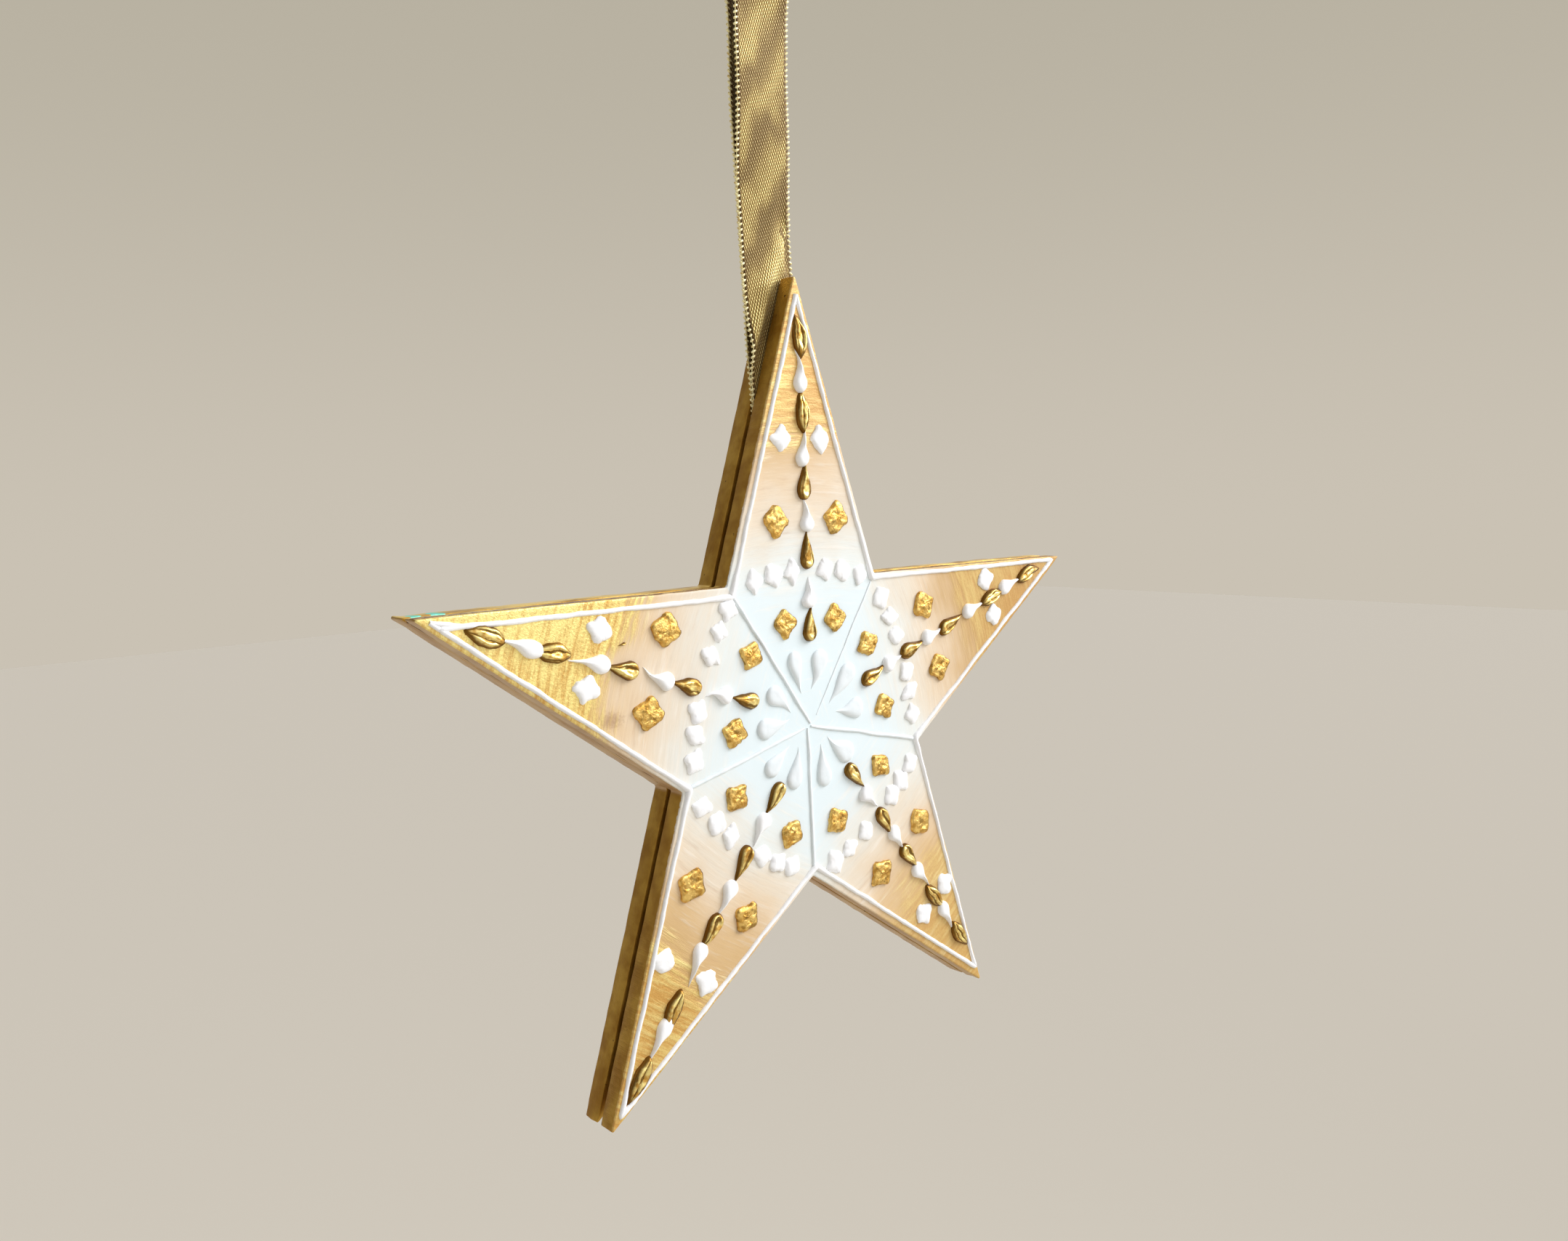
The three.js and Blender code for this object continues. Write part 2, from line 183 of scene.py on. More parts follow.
class NodeBench:
    """A node tree with one method that adds any node, and short ways to the usual ones."""

    def __init__(self, tree: bpy.types.NodeTree) -> None:
        """Works on an empty or a new tree."""
        self.tree = tree

    def feed(self, socket: bpy.types.NodeSocket, value: Any) -> None:
        """Links a wire to an input socket, or sets the socket's own value.

        Args:
            socket: An input of a node on this bench.
            value: A wire, or a value of the socket's own kind.
        """
        if isinstance(value, Wire):
            self.tree.links.new(value.socket, socket)
        else:
            socket.default_value = value

    def add(
        self,
        kind: str,
        settings: dict[str, Any] | None = None,
        values: dict[str | int, Any] | None = None,
        out: int | str = 0,
    ) -> Wire:
        """Adds a node.

        Args:
            kind: The node's type.
            settings: The node's own settings, set first. "stops" sets a ramp's colours.
            values: What its input sockets take, by name or place.
            out: The output that is wanted.

        Returns:
            The wire from that output.
        """
        node = self.tree.nodes.new(kind)
        for name, setting in (settings or {}).items():
            if name == "stops":
                self._set_stops(node.color_ramp, setting)
            else:
                setattr(node, name, setting)
        for name, value in (values or {}).items():
            self.feed(node.inputs[name], value)
        return Wire(self, node.outputs[out])

    @staticmethod
    def _set_stops(ramp: bpy.types.ColorRamp, stops: Sequence[tuple[float, Colour]]) -> None:
        """Gives a colour ramp its stops, from low to high.

        Args:
            ramp: The ramp.
            stops: A place from 0 to 1 and a colour for each stop.
        """
        while len(ramp.elements) < len(stops):
            ramp.elements.new(1.0)
        for element, (position, colour) in zip(ramp.elements, stops):
            element.position = position
            element.color = colour

    def vector(self, x: "Wire | float", y: "Wire | float", z: "Wire | float") -> Wire:
        """A vector from three numbers."""
        return self.add("ShaderNodeCombineXYZ", None, {"X": x, "Y": y, "Z": z})

    def split(self, vector: Wire) -> tuple[Wire, Wire, Wire]:
        """The three numbers of a vector."""
        parts = self.add("ShaderNodeSeparateXYZ", None, {"Vector": vector}).socket.node.outputs
        return Wire(self, parts[0]), Wire(self, parts[1]), Wire(self, parts[2])

    def vector_math(self, operation: str, *parts: Any, out: int = 0) -> Wire:
        """The result of a Vector Math node fed with the given parts in order."""
        return self.add("ShaderNodeVectorMath", {"operation": operation}, dict(enumerate(parts)), out)

    def scaled(self, vector: "Wire | Vector", amount: "Wire | float") -> Wire:
        """A vector times a number."""
        return self.add(
            "ShaderNodeVectorMath", {"operation": "SCALE"}, {"Vector": vector, "Scale": amount}
        )

    def noise(self, vector: Wire, scale: float, detail: float = 3.0, rough: float = 0.5) -> Wire:
        """Cloudy noise, mostly between 0.25 and 0.75."""
        values = {"Vector": vector, "Scale": scale, "Detail": detail, "Roughness": rough}
        return self.add("ShaderNodeTexNoise", None, values)

    def wander(self, place: Wire, scale: float, detail: float, rough: float = 0.5) -> Wire:
        """Noise that moves points about in the star's plane, mostly from -0.5 to 0.5 each way.

        Args:
            place: Where the noise is read.
            scale: How fine it is.
            detail: How many finer layers it has.
            rough: How strong the finer layers are.

        Returns:
            The shift at each place.
        """
        values = {"Vector": place, "Scale": scale, "Detail": detail, "Roughness": rough}
        drift = self.add("ShaderNodeTexNoise", None, values, "Color")
        drift = self.vector_math("SUBTRACT", drift, Vector((0.5, 0.5, 0.5)))
        return self.stretch(drift, 2.0, 0.0, 2.0)

    def stretch(self, place: Wire, x: float, y: float, z: float) -> Wire:
        """A vector with each of its three numbers times its own factor."""
        return self.vector_math("MULTIPLY", place, Vector((x, y, z)))

    def ramp(self, level: Wire, stops: Sequence[tuple[float, Colour]]) -> Wire:
        """A colour for a level from 0 to 1."""
        return self.add("ShaderNodeValToRGB", {"stops": stops}, {"Fac": level})

    def mix(self, share: "Wire | float", first: Any, second: Any) -> Wire:
        """A colour between two: the first at a share of 0, and the second at 1."""
        values = {"Factor": share, 6: first, 7: second}
        return self.add("ShaderNodeMix", {"data_type": "RGBA"}, values, 2)


class Slot(Enum):
    """Names of the material slots."""

    FACE = "front_paint"
    BACK = "back_paint"
    WHITE = "white_raised_paint"
    GOLD = "gold_raised_paint"
    RIBBON = "satin_ribbon"


@dataclass(frozen=True)
class StarLayout:
    """The star's outline in its own plane, and where that plane stands in the row's frame."""

    arms: int = 5
    tip_radius: float = 70.0
    notch_radius: float = 26.9
    plate: float = 3.2
    seam: float = 1.0
    tip_round: float = 0.25
    notch_round: float = 0.5
    centre_x: float = 2.4
    centre_z: float = -128.0

    @property
    def arm_turn(self) -> float:
        """The angle from one arm to the next."""
        return math.tau / self.arms

    @property
    def face_level(self) -> float:
        """How far the decorated face stands in front of the middle of the two stars."""
        return self.seam / 2 + self.plate

    @property
    def edge_distance(self) -> float:
        """How far each of the ten straight edges lies from the centre."""
        tip = Vector(self.polar(self.tip_radius, 0))
        notch = Vector(self.polar(self.notch_radius, self.arm_turn / 2))
        return abs(tip.x * notch.y - tip.y * notch.x) / (tip - notch).length

    def polar(self, radius: float, angle: float) -> Point:
        """The point at a distance from the centre, at an angle clockwise from the top tip."""
        return (radius * math.sin(angle), radius * math.cos(angle))

    def on_arm(self, arm: int, along: float, across: float) -> Point:
        """The point at a distance along an arm, and to its clockwise side."""
        turn = arm * self.arm_turn
        x = along * math.sin(turn) + across * math.cos(turn)
        return (x, along * math.cos(turn) - across * math.sin(turn))

    def place(self, x: float, z: float, out: float) -> Vector:
        """A point of the star in the row's frame, in metres."""
        return Vector((self.centre_x + x, -out, self.centre_z + z)) * MM

    def edge_normal(self, edge: int) -> Vector:
        """The way an edge faces: edge 2k is arm k's clockwise side, and 2k + 1 its other."""
        arm, other = divmod(edge % (2 * self.arms), 2)
        lean = math.acos(self.edge_distance / self.tip_radius)
        return Vector(self.polar(1, arm * self.arm_turn + (-lean if other else lean)))

    def corners(self, insets: Sequence[float]) -> list[Vector]:
        """The ten corners, clockwise from the top tip, with each edge drawn in by its inset.

        Args:
            insets: How far each edge is drawn in, or one inset for all of them.

        Returns:
            Each tip, followed by the notch after it.
        """

        def meeting(first: int, second: int) -> Vector:
            """The crossing of two edges.

            Args:
                first: The number of an edge.
                second: The number of another.

            Returns:
                The point where both meet when drawn in.
            """
            a, b = self.edge_normal(first), self.edge_normal(second)
            reach_a = self.edge_distance - insets[first % len(insets)]
            reach_b = self.edge_distance - insets[second % len(insets)]
            scale = a.x * b.y - a.y * b.x
            x = (reach_a * b.y - reach_b * a.y) / scale
            return Vector((x, (reach_b * a.x - reach_a * b.x) / scale))

        found = []
        for arm in range(self.arms):
            found.append(meeting(2 * arm + 1, 2 * arm))
            found.append(meeting(2 * arm, 2 * arm + 3))
        return found

    def rounded(self, insets: Sequence[float], steps: int, turns: int) -> list[Vector]:
        """The outline drawn in by an inset, its corners rounded.

        Args:
            insets: How far each edge is drawn in, or one inset for all of them.
            steps: Points along each straight edge.
            turns: Points round each corner.

        Returns:
            The outline's points, clockwise from the top tip.
        """
        corners = self.corners(insets)
        arcs = []
        for i, corner in enumerate(corners):
            radius = self.notch_round if i % 2 else self.tip_round
            before = (corners[i - 1] - corner).normalized()
            after = (corners[(i + 1) % len(corners)] - corner).normalized()
            half = before.angle(after) / 2
            middle = corner + (before + after).normalized() * (radius / math.sin(half))
            start = corner + before * (radius / math.tan(half)) - middle
            end = corner + after * (radius / math.tan(half)) - middle
            arcs.append([
                middle + start.slerp(end, turn / (turns - 1)).normalized() * radius
                for turn in range(turns)
            ])
        outline = []
        for i, arc in enumerate(arcs):
            outline += arc
            goal = arcs[(i + 1) % len(arcs)][0]
            outline += [arc[-1].lerp(goal, (step + 1) / (steps + 1)) for step in range(steps)]
        return outline

    def outside(self, x: float, z: float) -> float:
        """How far a point near the top arm lies outside its two edges. Negative inside."""
        spot = Vector((x, z))
        return max(spot.dot(self.edge_normal(edge)) - self.edge_distance for edge in (0, 1))


@dataclass(frozen=True)
class ArmPaint:
    """Where the painter put one arm's marks: along the arm, and to its clockwise side.

    A pair is (along, across on the left, across on the right). The chain's sizes and its
    side are given at its inner and its outer end.
    """

    chain: tuple[float, ...]
    side: Point
    gold_length: Point
    white_length: Point
    inner: tuple[float, float, float]
    outer: tuple[float, float, float]
    pale: tuple[float, float, float]
    row: float
    row_across: tuple[float, ...]


ARM_PAINT = (
    ArmPaint(
        chain=(14.8, 19.7, 26.6, 32.2, 37.7, 42.8, 48.5, 54.7, 60.2), side=(0.7, 0.5),
        gold_length=(6.2, 7.0), white_length=(4.6, 6.6),
        inner=(15.1, -4.5, 6.3), outer=(31.4, -5.7, 7.1), pale=(44.2, -4.0, 4.2),
        row=23.4, row_across=(-10.5, -6.6, -2.6, 4.5, 8.3, 12.3),
    ),
    ArmPaint(
        chain=(15.7, 20.7, 25.9, 31.4, 36.5, 43.1, 48.4, 54.2, 59.4), side=(0.1, -0.7),
        gold_length=(6.2, 7.2), white_length=(4.8, 7.0),
        inner=(16.0, -5.4, 6.4), outer=(30.9, -6.1, 5.8), pale=(47.8, -4.0, 2.9),
        row=23.1, row_across=(-11.4, -7.5, -3.9, 3.1, 6.7, 10.7),
    ),
    ArmPaint(
        chain=(15.6, 21.0, 27.0, 31.7, 36.6, 41.5, 47.2, 52.5, 58.0), side=(-0.9, -1.4),
        gold_length=(6.2, 7.0), white_length=(4.8, 6.6),
        inner=(18.4, -6.3, 6.6), outer=(33.4, -7.0, 5.1), pale=(47.4, -4.6, 2.5),
        row=24.9, row_across=(-11.6, -8.2, -5.1, 3.1, 7.5, 11.2),
    ),
    ArmPaint(
        chain=(14.9, 20.3, 26.4, 32.2, 37.9, 42.9, 50.7, 55.2, 61.4), side=(-0.8, -0.4),
        gold_length=(6.2, 7.6), white_length=(5.0, 7.6),
        inner=(18.0, -7.4, 6.1), outer=(33.0, -6.1, 6.8), pale=(44.6, -4.3, 5.3),
        row=23.6, row_across=(-10.5, -7.3, -3.7, 3.9, 7.5, 11.5),
    ),
    ArmPaint(
        chain=(13.9, 19.0, 25.6, 30.8, 37.5, 42.9, 49.0, 54.6, 59.6), side=(-0.2, 0.1),
        gold_length=(5.6, 6.4), white_length=(4.2, 8.4),
        inner=(14.5, -5.5, 6.7), outer=(31.2, -5.4, 7.2), pale=(42.4, -3.9, 4.8),
        row=22.4, row_across=(-11.0, -7.0, -3.6, 5.1, 9.0, 12.6),
    ),
)


@dataclass(frozen=True)
class PetalStroke:
    """One white petal: the middle of its fat end, the tip of its tail, its width and bend."""

    fat: Point
    tail: Point
    width: float
    bend: float


PETALS = (
    PetalStroke((-2.7, 8.8), (-1.8, 3.4), 2.7, -0.5),
    PetalStroke((2.7, 8.6), (1.4, 3.7), 3.3, 0.7),
    PetalStroke((8.7, 5.5), (4.6, 0.9), 3.2, 0.2),
    PetalStroke((10.6, -0.4), (5.9, -0.9), 3.4, 0.4),
    PetalStroke((8.0, -7.5), (3.5, -4.8), 3.5, 0.5),
    PetalStroke((3.0, -10.7), (2.1, -5.3), 2.9, 0.4),
    PetalStroke((-3.5, -10.1), (-2.1, -5.1), 3.0, -0.5),
    PetalStroke((-8.1, -7.5), (-4.5, -4.3), 2.9, 0.4),
    PetalStroke((-9.2, -1.1), (-4.1, -0.7), 3.2, -0.4),
    PetalStroke((-7.2, 4.0), (-3.4, 1.2), 3.1, 0.6),
)
# Where the five spokes start near the middle, from the one right of the top arm clockwise
SPOKE_STARTS = ((1.7, -0.3), (0.4, -2.0), (-0.3, -2.2), (-0.9, -2.2), (0.3, -1.5))
FAINT_SPOKE = 0

# How far the white outline lies in from each of the star's ten edges
OUTLINE_INSETS = (0.95, 1.2, 1.05, 0.7, 1.5, 0.7, 0.95, 0.9, 1.6, 0.95)
# At the left tip both lines run on past the outline's corner, from a lap before it
LEFT_TIP_CORNER = 8
OVERSHOOT = 1.7
SPUR_LAP = 3.0

# Course of the ribbon's middle: height above the star's centre, then distance to its right
RIBBON_COURSE = (
    (30, -0.6), (50, -1.3), (60, -1.8), (70, -2.4), (84, -3.05), (96, -2.85), (110, -2.7),
    (130, -2.4),
)


def close_mesh(
    name: str, points: Sequence[Vector], faces: Sequence[Sequence[int]]
) -> bpy.types.Mesh:
    """A new mesh from points in metres and faces, smooth shaded.

    Args:
        name: The mesh's name.
        points: Its points, in metres.
        faces: Its faces, as numbers of points.

    Returns:
        The mesh.
    """
    mesh = bpy.data.meshes.new(name)
    mesh.from_pydata([tuple(point) for point in points], [], [tuple(face) for face in faces])
    mesh.polygons.foreach_set("use_smooth", [True] * len(mesh.polygons))
    mesh.update()
    return mesh


def ring_faces(rings: int, count: int) -> list[list[int]]:
    """The faces of a closed tube, made of rings of points one after another.

    Args:
        rings: Number of rings.
        count: Points in each ring.

    Returns:
        The faces of the side and of both ends.
    """
    faces = []
    for first in range(0, (rings - 1) * count, count):
        for i in range(count):
            j = (i + 1) % count
            faces.append([first + i, first + j, first + count + j, first + count + i])
    faces.append(list(reversed(range(count))))
    faces.append([(rings - 1) * count + i for i in range(count)])
    return faces


def turned_over(faces: Sequence[Sequence[int]]) -> list[list[int]]:
    """The faces, turned to point the other way."""
    return [list(reversed(face)) for face in faces]


def put_in_scene(name: str, data: bpy.types.ID) -> bpy.types.Object:
    """A new object in the scene that holds the data."""
    thing = bpy.data.objects.new(name, data)
    bpy.context.scene.collection.objects.link(thing)
    return thing


def show(
    name: str, mesh: bpy.types.Mesh, material: bpy.types.Material
) -> bpy.types.Object:
    """Puts a finished mesh in the scene as a piece of the ornament.

    Args:
        name: The piece's name.
        mesh: Its mesh, in the row's frame.
        material: Its material.

    Returns:
        The new object, riding on the body.
    """
    piece = put_in_scene(name, mesh)
    mesh.materials.clear()
    mesh.materials.append(material)
    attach(piece, BODY)
    LOG.info("%s: %d faces", name, len(mesh.polygons))
    return piece


def give_numbers(mesh: bpy.types.Mesh, name: str, values: Sequence[float]) -> None:
    """Stores one number for each of a mesh's points under a name."""
    mesh.attributes.new(name, "FLOAT", "POINT").data.foreach_set("value", list(values))


def give_vectors(mesh: bpy.types.Mesh, name: str, values: Iterable[Vector]) -> None:
    """Stores one vector for each of a mesh's points under a name."""
    flat = [part for value in values for part in value]
    mesh.attributes.new(name, "FLOAT_VECTOR", "POINT").data.foreach_set("vector", flat)


class GrowingTree:
    """A Geometry Nodes tree with named inputs, whose result is taken as a plain mesh."""

    def __init__(self, name: str) -> None:
        """Starts a tree with a geometry input and output.

        Args:
            name: The tree's name.
        """
        self.tree = bpy.data.node_groups.new(name, "GeometryNodeTree")
        self.tree.interface.new_socket("Geometry", in_out="INPUT", socket_type="NodeSocketGeometry")
        self.tree.interface.new_socket("Geometry", in_out="OUTPUT", socket_type="NodeSocketGeometry")
        self.bench = NodeBench(self.tree)
        self.source = self.tree.nodes.new("NodeGroupInput")
        self.keys: dict[str, str] = {}

    @property
    def geometry(self) -> Wire:
        """The geometry that the modifier is given."""
        return Wire(self.bench, self.source.outputs["Geometry"])

    def takes(self, kind: str, *names: str) -> list[Wire]:
        """New named inputs of a kind, such as Float, Object or Material.

        Args:
            kind: The kind that the inputs have.
            names: Their names.

        Returns:
            A wire from each input.
        """
        for name in names:
            socket = self.tree.interface.new_socket(
                name, in_out="INPUT", socket_type=f"NodeSocket{kind}"
            )
            self.keys[name] = socket.identifier
        return [Wire(self.bench, self.source.outputs[name]) for name in names]

    def named(self, name: str, kind: str = "FLOAT") -> Wire:
        """A value that the mesh's points carry under a name."""
        return self.bench.add("GeometryNodeInputNamedAttribute", {"data_type": kind}, {"Name": name})

    def finish(self, geometry: Wire, paint: Wire) -> None:
        """Ends the tree: instances become real, and all faces get the paint.

        Args:
            geometry: What the tree has made.
            paint: The material for all of it.
        """
        real = self.bench.add("GeometryNodeRealizeInstances", None, {"Geometry": geometry})
        values = {"Geometry": real, "Material": paint}
        painted = self.bench.add("GeometryNodeSetMaterial", None, values)
        sink = self.tree.nodes.new("NodeGroupOutput")
        self.bench.feed(sink.inputs["Geometry"], painted)

    def grow(self, mesh: bpy.types.Mesh, inputs: dict[str, Any]) -> bpy.types.Mesh:
        """Runs the tree on a mesh.

        Args:
            mesh: What the tree starts from.
            inputs: The tree's inputs by name.

        Returns:
            The result as a plain mesh with nothing live on it.
        """
        carrier = put_in_scene(f"{mesh.name}_carrier", mesh)
        modifier = carrier.modifiers.new("grow", "NODES")
        modifier.node_group = self.tree
        for name, value in inputs.items():
            modifier[self.keys[name]] = value
        graph = bpy.context.evaluated_depsgraph_get()
        grown = bpy.data.meshes.new_from_object(
            carrier.evaluated_get(graph), preserve_all_data_layers=True, depsgraph=graph
        )
        bpy.data.objects.remove(carrier)
        grown.polygons.foreach_set("use_smooth", [True] * len(grown.polygons))
        grown.update()
        return grown


class Surface(NodeBench):
    """The bench of a new material, with short ways to its shader."""

    def __init__(self, name: str) -> None:
        """Makes the material with only its shader and output.

        Args:
            name: The material's name.
        """
        self.material = bpy.data.materials.new(name)
        self.material.use_nodes = True
        super().__init__(self.material.node_tree)
        self.shader = self.tree.nodes["Principled BSDF"]

    def give(self, **inputs: Any) -> None:
        """Links or sets the shader's sockets, named in small letters with underscores."""
        for name, value in inputs.items():
            self.feed(self.shader.inputs[name.replace("_", " ").title()], value)

    def bump(self, height: Wire, strength: float, depth: float) -> None:
        """Roughens the surface by a height, to a depth in millimetres."""
        values = {"Height": height, "Strength": strength, "Distance": depth * MM}
        self.give(normal=self.add("ShaderNodeBump", None, values))

    def place(self, star: StarLayout) -> Wire:
        """The place on the piece in millimetres, counted from the star's centre."""
        place = self.add("ShaderNodeTexCoord", out="Object")
        centred = self.vector_math("SUBTRACT", place, star.place(0, 0, 0))
        return self.scaled(centred, 1 / MM)

    def carried(self, name: str) -> Wire:
        """A number that the mesh's points carry under a name."""
        return self.add("ShaderNodeAttribute", {"attribute_name": name}, out="Fac")


@dataclass(frozen=True)
class GoldSides:
    """Dull olive-gold paint on the stars' edges and back, thin and tan along one long edge, with a
    painted highlight on the sides that face up.
    """

    light: Colour = tone(200, 158, 66)
    dark: Colour = tone(164, 118, 36)
    speck: Colour = tone(70, 40, 14)
    tan: Colour = tone(204, 170, 122)
    tan_dark: Colour = tone(184, 146, 100)
    turquoise: Colour = tone(128, 226, 200)
    # A painted highlight: the paler gold laid on the sides that face up, as if lit from above
    upper: Colour = tone(244, 212, 122)
    worn: Colour = tone(122, 62, 20)
    # How far behind the face the worn line on the upper sides lies, and how far it spreads
    worn_depth: float = 1.3
    worn_reach: float = 0.8
    metallic: float = 0.7
    tan_metallic: float = 0.15
    smoothest: float = 0.3
    # The edge whose line of sides is tan, and how far to either side of that line tan is found
    tan_edge: int = 9
    tan_reach: float = 0.55
    # The two turquoise flecks near the left tip: across and up from the centre, out, half size
    flecks: tuple[tuple[float, float, float, float], ...] = (
        (-64.0, 21.4, -1.2, 0.9), (-60.9, 21.4, -1.2, 1.3),
    )

    def tan_share(self, bench: NodeBench, place: Wire, star: StarLayout) -> Wire:
        """1 where a side follows the line of the tan edge, and 0 elsewhere.

        Args:
            bench: The material's nodes.
            place: The place from Surface.place.
            star: The star's layout.

        Returns:
            The share.
        """
        normal = star.edge_normal(self.tan_edge)
        outward = Vector((normal.x, 0.0, normal.y))
        reach = bench.vector_math("DOT_PRODUCT", place, outward, out=1)
        away = (reach - star.edge_distance).apply("ABSOLUTE")
        faces = bench.add("ShaderNodeNewGeometry", out="True Normal")
        turned = bench.vector_math("DOT_PRODUCT", faces, outward, out=1).rise(0.2, 0.5)
        return (1 - away.rise(self.tan_reach - 0.1, self.tan_reach + 0.1)) * turned

    def colour(self, bench: NodeBench, place: Wire, star: StarLayout) -> Wire:
        """The colour of the side paint at a place, with its brush marks and specks, and a painted
        highlight on the sides that face up.

        Args:
            bench: The material's nodes.
            place: The place from Surface.place.
            star: The star's layout.

        Returns:
            The colour.
        """
        brushed = bench.noise(bench.stretch(place, 0.22, 0.5, 0.55), 0.5, 3.0, 0.55)
        colour = bench.mix(brushed.rise(0.3, 0.7), self.dark, self.light)
        _, _, upward = bench.split(bench.add("ShaderNodeNewGeometry", out="Normal"))
        upward = upward.rise(0.6, 0.9)
        _, behind, _ = bench.split(place)
        crumbs = bench.noise(place, 1.1, 5.0, 0.7)
        line = (behind + star.face_level - self.worn_depth).hump(self.worn_reach)
        line = (line * 0.28 + crumbs).rise(0.66, 0.7) * upward
        # Painted highlight: the sides that face up turn paler gold, as if lit from above
        colour = bench.mix(upward * brushed.rise(0.3, 0.6), colour, self.upper)
        colour = bench.mix(line * 0.9, colour, self.worn)
        thin = bench.mix(brushed.rise(0.35, 0.65), self.tan_dark, self.tan)
        colour = bench.mix(self.tan_share(bench, place, star), colour, thin)
        specks = bench.noise(place, 1.0, 2.0, 0.5).rise(0.72, 0.77)
        colour = bench.mix(specks * 0.75, colour, self.speck)
        for x, z, out, half in self.flecks:
            apart = bench.vector_math("SUBTRACT", place, Vector((x, -out, z)))
            apart = bench.stretch(apart, 1 / half, 0.4, 1.4)
            distance = bench.vector_math("LENGTH", apart, out=1)
            ragged = distance + bench.noise(place, 1.6) * 0.8
            colour = bench.mix(1 - ragged.rise(1.15, 1.4), colour, self.turquoise)
        return colour

    def metal(self, bench: NodeBench, place: Wire, star: StarLayout) -> Wire:
        """How metallic the side paint is at a place."""
        return self.metallic - self.tan_share(bench, place, star) * (self.metallic - self.tan_metallic)

    def make(self, star: StarLayout) -> bpy.types.Material:
        """The material of the back star.

        Args:
            star: The star's layout.

        Returns:
            The material.
        """
        surface = Surface("gold_sides")
        place = surface.place(star)
        grain = surface.noise(surface.stretch(place, 0.7, 1.2, 0.7), 1.4, 5.0)
        surface.give(
            base_color=self.colour(surface, place, star),
            metallic=self.metal(surface, place, star),
            roughness=grain * 0.25 + self.smoothest,
        )
        surface.bump(grain, 0.4, 0.2)
        return surface.material


@dataclass(frozen=True)
class ArmGilding:
    """One arm's gold, with the arm counted clockwise from the top one, from -2 to 2."""

    arm: int
    # How far out the gold starts, how strongly it shows, and how much it shines past the others. The
    # last two are partly the paint's own unevenness and partly painted light: the left arm's gold is
    # stronger and brighter, the other arms' weaker and darker, the shine counted towards each tip and
    # its clockwise side
    start: float
    thickness: float
    gleam: float
    # How tan the paint under it is, and how much further out the arm's colours lie
    tanned: float
    outwards: float = 0.0


